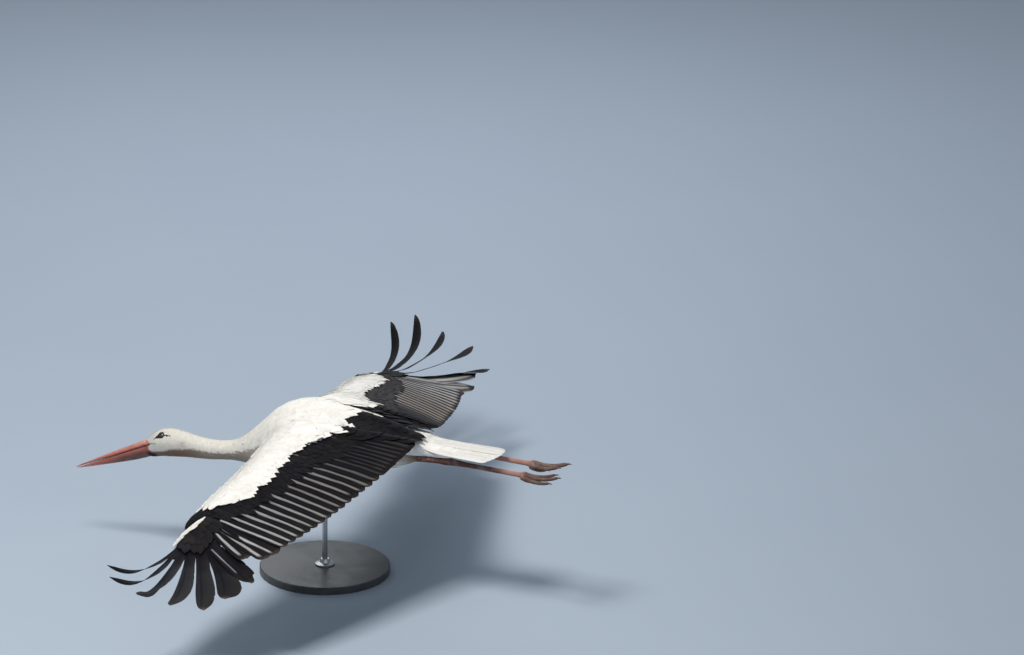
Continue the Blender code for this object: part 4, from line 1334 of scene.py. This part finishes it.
def fused(name, nodes, voxel, rounds):
    """A smooth closed mesh over some CAD nodes, with its points and their normals."""
    points, faces = cad_mesh(*nodes)
    mesh = bpy.data.meshes.new(name)
    mesh.from_pydata(points.tolist(), [], faces.tolist())
    made = link(name, mesh)
    remesh = made.modifiers.new("fuse", "REMESH")
    remesh.mode = "VOXEL"
    remesh.voxel_size = voxel
    smooth = made.modifiers.new("even", "SMOOTH")
    smooth.factor = 0.5
    smooth.iterations = rounds
    bpy.context.view_layer.update()
    evaluated = made.evaluated_get(bpy.context.evaluated_depsgraph_get())
    fresh = bpy.data.meshes.new_from_object(evaluated)
    bpy.data.objects.remove(made)
    bpy.data.meshes.remove(mesh)
    fresh.name = name
    fresh.shade_smooth()
    return fresh, numbers(fresh.vertices, "co"), numbers(fresh.vertex_normals, "vector")


def dress(mesh, places, paint, tint, vane=None):
    """Puts a fused mesh in the scene, with its points moved, its looks and its paint."""
    mesh.vertices.foreach_set("co", floats(places))
    mesh.update()
    add_looks(mesh, tint, vane)
    mesh.materials.clear()
    mesh.materials.append(paint)
    return link(mesh.name, mesh)


def unwrap(piece):
    """An OFBake map over the piece's own shape."""
    bpy.ops.object.select_all(action="DESELECT")
    piece.select_set(True)
    bpy.context.view_layer.objects.active = piece
    piece.data.uv_layers.new(name="OFBake")
    bpy.ops.object.mode_set(mode="EDIT")
    bpy.ops.mesh.select_all(action="SELECT")
    bpy.ops.uv.smart_project(angle_limit=math.radians(70), island_margin=0.003)
    bpy.ops.object.mode_set(mode="OBJECT")


def skin_depth(places):
    """How far the skin lies inside the coat's surface: least at the bill and on the wings."""
    aft = places[:, 1] - TIP[1]
    depth = np.interp(aft, (0.17, 0.21, 0.26, 0.40, 0.52), (0.0004, 0.0008, 0.0012, 0.0016, 0.0020))
    wing = smooth_step(SHOULDER_X - 0.01, SHOULDER_X + 0.02, np.abs(places[:, 0]))
    return depth * (1 - wing) + 0.0012 * wing


def plumage_at(places):
    """The markings and painted shade that the coat carries, for the skin below it."""
    places = left_side(places)
    height = (places - TIP) @ BILL_UP - GAPE_RISE
    bare = mix(GAPE_LOWER, GAPE_UPPER, smooth_step(-0.001, 0.001, height))
    # Painted shade along the gape line on the bare skin.
    bare = mix(bare, MASK, 0.9 * bell(height, 0.0013))
    bare = mix(bare, MASK, under_chin(places))
    tint = mix(markings_and_shade(np.broadcast_to(WHITE, places.shape), places), bare, bare_base(places))
    x, y, z = places.T
    above = WING_TOP.at(x, y)[0][:, 2] - z < 0.014
    black = above & (x > SHOULDER_X * 0.9) & (y > chord_y(x, on_span(x, WHITE_END)))
    return mix(tint, BLACK, black)


def build_skin():
    """One closed skin under the plumage, which follows the smooth body at the eyes and the thighs' roots."""
    nodes = list(FLESH)
    for name in SIDES:
        nodes += ["thigh_" + name, "wing_arm_" + name, "wing_hand_" + name]
    mesh, places, normals = fused("skin", nodes, 0.0034, 4)
    near_eye = np.linalg.norm(left_side(places) - EYE, axis=1)
    whole = 1 - smooth_step(EYE_RADIUS * 1.5, EYE_RADIUS * 2.1, near_eye)
    whole = np.maximum(whole, thigh_root(places))[:, None]
    even, even_normals = onto_body(places)
    normals = unit(normals * (1 - whole) + even_normals * whole)
    places[:, 2] -= throat(places) * (1 - whole[:, 0])
    places = places * (1 - whole) + even * whole
    piece = dress(mesh, places - normals * skin_depth(places)[:, None], skin_paint(), plumage_at(places))
    unwrap(piece)
    return belongs(piece, "white_feathers", *nodes)


def bill_shape(places, share, height):
    """The bill is deeper than its CAD nodes: the gape line lies higher and the lower edge lower."""
    gape = GAPE_RISE * share**1.2
    low = -np.interp(share, (0, 0.65, 0.85, 1.0), (0, 0.0064, 0.0080, 0.0076))
    depth = 0.004 + 0.016 * share
    above = gape * (1 - smooth_step(0, 1, height / depth))
    below = gape + (low - gape) * smooth_step(0, 1, -height / depth)
    places = places + BILL_UP * np.where(height > 0, above, below)[:, None]
    return places - np.cross((1.0, 0, 0), BILL_UP) * (smooth_step(0.955, 1.0, share) * 0.010)[:, None]


def build_bill(paint):
    """Both mandibles: pink above with a painted highlight along the top, coral below darkened by painted
    shade and darkest along its lower edge, with painted shade along the gape and in the slit nostrils.
    """
    low, high = node_box("bill_upper")
    for name, outward in (("bill_upper", 1), ("bill_lower", -1)):
        mesh, places, normals = fused(name + "_horn", [name], 0.0007, 3)
        share = np.clip((places[:, 1] - low[1]) / (high[1] - low[1]), 0, 1)
        height = (places - TIP) @ BILL_UP
        tint = mix(BILL_TIP, BILL_RED, smooth_step(0.0, 0.5, share))
        if name == "bill_upper":
            # Painted highlight along the top of the upper mandible.
            tint = mix(tint, BILL_HIGHLIGHT, smooth_step(0.1, 0.8, height / 0.012) * share)
            slit = np.exp(-(((share - 0.80) / 0.045) ** 4)) * bell(normals[:, 2] - 0.55, 0.10)
            places = places - normals * (slit * 0.0011)[:, None]
            # Painted shade in the nostril slits.
            tint = mix(tint, NOSTRIL_SHADE, slit)
        else:
            # Painted shade: the lower mandible darker than the upper, and darkest along its lower edge.
            tint = mix(tint, BILL_SHADE_BELOW, 0.7 * share)
            edge = smooth_step(0.25, 0.80, -height / (0.004 + 0.009 * share))
            tint = mix(tint, BILL_SHADE_EDGE, edge * smooth_step(0.25, 0.75, share))
        # Painted shade along the gape; the same band also parts the mandibles a little.
        gape_line = bell(height, 0.0016) * smooth_step(0.0, 0.1, share)
        tint = mix(tint, BILL_GAPE_SHADE, gape_line * 0.9)
        places = bill_shape(places, share, height) + BILL_UP * (gape_line * 0.0005 * outward)[:, None]
        belongs(dress(mesh, places, paint, tint, places), "bill_horn", name)


def build_leg(name, shade_end, paint):
    """Shank, tarsus and toes as one scaly skin: dark brown painted shade above, the leg's own pink from
    shade_end on, dirt and painted shade on the toes.
    """
    nodes = ["shank_" + name, "tarsus_" + name, "foot_" + name]
    mesh, places, normals = fused("leg_" + name, nodes, 0.0011, 3)
    low, toes = node_box(nodes[0])[0][1], node_box(nodes[2])[0][1]
    share = (places[:, 1] - low) / (toes - low)
    pink = smooth_step(shade_end - 0.06, shade_end + 0.06, share)
    # Painted shade above, the leg's own pink below.
    tint = mix(LEG_SHADE, LEG_PINK, pink)
    # Dirt and painted shade on the toes.
    tint = mix(tint, TOE_DIRT_AND_SHADE, smooth_step(0.98, 1.08, share))
    bands = np.maximum(np.sin(places[:, 1] * 2 * math.pi / 0.0045), 0) ** 2
    swell = 0.0004 + 0.0004 * smooth_step(0.97, 1.05, share)
    places = places + normals * (bands * 0.00025 + swell)[:, None]
    return belongs(dress(mesh, places, paint, tint), "leg_scales", *nodes)


def closed_tube(places):
    """Quads of rings joined round, and strips of quads across the two end rings."""
    rings, turns = places.shape[:2]
    index = np.arange(rings * turns).reshape(rings, turns)
    after = np.roll(index, -1, axis=1)
    wall = np.stack([index[:-1], index[1:], after[1:], after[:-1]], -1).reshape(-1, 4)
    step = np.arange(turns // 2 - 1)

    def across(end):
        return np.stack([end[step], end[step + 1], end[-2 - step], end[-1 - step]], -1)

    return np.concatenate([wall, across(index[0])[:, ::-1], across(index[-1])])


def closed_ring(places):
    """Quads of a tube bent into a ring."""
    tube, turns = places.shape[:2]
    index = np.arange(tube * turns).reshape(tube, turns)
    right = np.roll(index, -1, axis=1)
    return np.stack([index, right, np.roll(right, -1, axis=0), np.roll(index, -1, axis=0)], -1).reshape(-1, 4)


def build_eye(name, side, gloss, lid):
    """The ball, sunk in the head so that a third of it shows, and a wrinkled lid that lies on it."""
    aft_way = unit(np.array((0.0, 1.0, 0.0)) - EYE_NORMAL[1] * EYE_NORMAL)
    up_way = np.cross(EYE_NORMAL, aft_way)
    ways = np.stack([EYE_NORMAL, aft_way, up_way * np.sign(up_way[2])])
    centre = EYE_SPOT - EYE_NORMAL * 0.0046
    turned = side * np.linalg.det(ways) < 0

    def rounded(label, polar, turn, reach, quads, paint, vane=None):
        """Places by the angle from the outward direction, the turn about it and the reach."""
        out, around = np.cos(polar), np.sin(polar)
        spots = np.broadcast_arrays(out * reach, around * np.cos(turn) * reach, around * np.sin(turn) * reach)
        places = (centre + np.stack(spots, -1) @ ways) * (side, 1, 1)
        faces = quads(places)
        faces = faces[:, ::-1] if turned else faces
        return mesh_object(label + name, places.reshape(-1, 3), faces, paint, vane=vane)

    turn = np.linspace(0, 2 * math.pi, 40, endpoint=False)[None]
    polar = np.linspace(0.02, math.pi - 0.02, 20)[:, None]
    bulge = EYE_RADIUS * (1 - 0.03 * bell(polar, 0.5))
    measures = np.stack(np.broadcast_arrays(polar, turn, 0), -1)
    ball = rounded("eyeball_", polar, turn, bulge, closed_tube, gloss, measures)
    belongs(ball, "eye_gloss", "eye_" + name)
    tube = np.linspace(0, 2 * math.pi, 14, endpoint=False)[:, None]
    thick = 0.0008 * (1 + 0.10 * np.sin(9 * turn))
    opening = np.arcsin(0.80 - 0.13 * np.sin(turn) ** 2 + 0.05 * np.cos(turn) ** 2)
    slant = opening + thick * 1.5 / EYE_RADIUS * np.sin(tube)
    reach = EYE_RADIUS * 1.02 + thick * np.cos(tube)
    belongs(rounded("lid_", slant, turn, reach, closed_ring, lid), "eye_gloss")


def repaint(name, paint):
    """Gives a CAD node that stays in the picture its paint and smooth shading."""
    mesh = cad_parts[name].data
    mesh.materials.clear()
    mesh.materials.append(paint)
    mesh.shade_smooth()
    return mesh


def finish_claws():
    paint = claw_paint()
    for name in SIDES:
        for toe in ("inner", "middle", "outer", "hind"):
            repaint("claw_" + toe + "_" + name, paint)


def finish_stand():
    steel = steel_paint()
    for name, paint in (("stand_base", stand_paint()), ("stand_rod", steel), ("stand_collar", steel)):
        repaint(name, paint).set_sharp_from_angle(angle=math.radians(35))


# ---------------------------------------------------------------- stage


def floor_paint():
    """A soft blue-grey floor."""
    nodes = Nodes("studio_floor")
    color = nodes.blend(nodes.noise(nodes.place(), 1.5), (0.40, 0.47, 0.56), (0.43, 0.50, 0.59))
    return nodes.finish(color, 0.9, Specular_IOR_Level=0.1)


def build_stage():
    """The floor and the light from all round."""
    half = 60.0
    corners = np.array([(-half, -half, 0), (half, -half, 0), (half, half, 0), (-half, half, 0)])
    mesh_object("studio_floor", corners, np.array([[0, 1, 2, 3]]), floor_paint())
    world = bpy.data.worlds.new("studio")
    world.use_nodes = True
    background = world.node_tree.nodes["Background"].inputs
    background["Color"].default_value = (0.60, 0.68, 0.78, 1.0)
    background["Strength"].default_value = 0.30
    bpy.context.scene.world = world


AZIMUTH = math.radians(113.3)
ELEVATION = math.radians(21.6)
CAMERA_BACK = np.array(
    (math.sin(AZIMUTH) * math.cos(ELEVATION), -math.cos(AZIMUTH) * math.cos(ELEVATION), math.sin(ELEVATION))
)
CAMERA_RIGHT = np.array((math.cos(AZIMUTH), math.sin(AZIMUTH), 0.0))
CAMERA_UP = np.cross(CAMERA_BACK, CAMERA_RIGHT)
CAMERA_DISTANCE = 12.0
VIEW_WIDTH = 2.3474


def aimed(name, data, place, direction):
    """A camera or light that looks in a direction."""
    made = link(name, data)
    made.location = place
    made.rotation_mode = "QUATERNION"
    made.rotation_quaternion = direction.to_track_quat("-Z", "Y")
    return made


def build_camera():
    """A camera with parallel rays, like a very long lens. The bill's tip is left of and below the middle."""
    middle = TIP + 0.9990 * CAMERA_RIGHT + 0.3181 * CAMERA_UP
    data = bpy.data.cameras.new("camera")
    data.type = "ORTHO"
    data.ortho_scale = VIEW_WIDTH
    data.clip_start = 1.0
    data.clip_end = 100.0
    place = middle + CAMERA_BACK * CAMERA_DISTANCE
    bpy.context.scene.camera = aimed("camera", data, place, Vector(-CAMERA_BACK))


def area_light(name, away, size, power, color):
    """A square light at a place measured from the trunk's middle, which it shines on."""
    middle = (TRUNK_LOW + TRUNK_HIGH) / 2
    data = bpy.data.lights.new(name, "AREA")
    data.size = size
    data.energy = power
    data.color = color
    aimed(name, data, middle + away, Vector(middle) - Vector(middle + away))


def build_lights():
    """A high key from the bird's head side, a broad fill from the camera's side and a weak one beyond."""
    key = -1.2 * CAMERA_RIGHT + np.array((0, 0, 3.4)) + 1.2 * CAMERA_BACK
    area_light("key", key, 1.2, 152.0, (1.0, 0.965, 0.91))
    area_light("fill", 3.2 * CAMERA_BACK + 0.8 * CAMERA_RIGHT, 3.0, 15.0, (0.90, 0.94, 1.0))
    area_light("beyond", -3.0 * CAMERA_BACK + np.array((0, 0, 3.0)), 2.4, 30.0, (0.92, 0.96, 1.0))


def build_side(name, side, white, black, legs, gloss, lid):
    """One side's leg, eye, wing and thigh."""
    rng = np.random.default_rng(11 if side > 0 else 29)
    # The painted shade reaches further down the left leg than down the right.
    build_leg(name, 0.84 if side > 0 else 0.60, legs)
    build_eye(name, side, gloss, lid)
    build_primaries(name, side, black, rng)
    build_secondaries(name, side, black, rng)
    build_tertials(name, side, black, rng)
    greater_coverts(name, side, black, rng)
    lesser_coverts(name, side, white, rng)
    lesser_coverts(name, side, white, rng, under=True)
    hand_coverts(name, side, black, rng)
    hand_edge(name, side, white, rng)
    scapulars(name, side, black, white, rng)
    thigh_coat(name, side, white, rng)


def build_body(white, black):
    """The tail and the coat of head, neck and trunk."""
    rng = np.random.default_rng(5)
    build_tail(white, rng)
    face_end = EYE[1] + 0.004
    head_end = TIP[1] + 0.275
    neck_end = TIP[1] + 0.44
    downy = {"grid": TINY, "camber": 0.0, "slim": 0.36, "blunt": 0.5}
    body_coat("coat_face", BODY.ys[0] + 0.001, face_end, white, rng, stand=0.0001, **downy)
    body_coat("coat_crown", face_end, head_end, white, rng, stand=0.0002, **downy)
    body_coat("coat_neck", head_end, neck_end, white, rng, slim=0.34, blunt=0.25, camber=0.03, grid=(6, 3))
    body_coat("coat_trunk", neck_end, BODY.ys[-1] - 0.03, white, rng)
    rump_coat(white, rng)
    # Dark vanes in the gape's fold: painted shade.
    gape_fold_shade(black, rng)


def main():
    bpy.context.scene.view_settings.view_transform = "Standard"
    build_stage()
    build_camera()
    build_lights()
    white = plumage_paint("white_plumage", 0.0007, 0.00003, 0.80, 0.15, (1.0, 1.0, 1.0), 0.25, 0.02)
    black = plumage_paint("black_plumage", 0.0009, 0.00004, 0.48, 0.04, (0.85, 0.76, 0.70), 0.05, 0.07)
    build_skin()
    build_bill(horn_paint())
    legs, gloss, lid = leg_paint(), eye_paint(), lid_paint()
    for name, side in SIDES.items():
        build_side(name, side, white, black, legs, gloss, lid)
    finish_claws()
    build_body(white, black)
    finish_stand()


main()
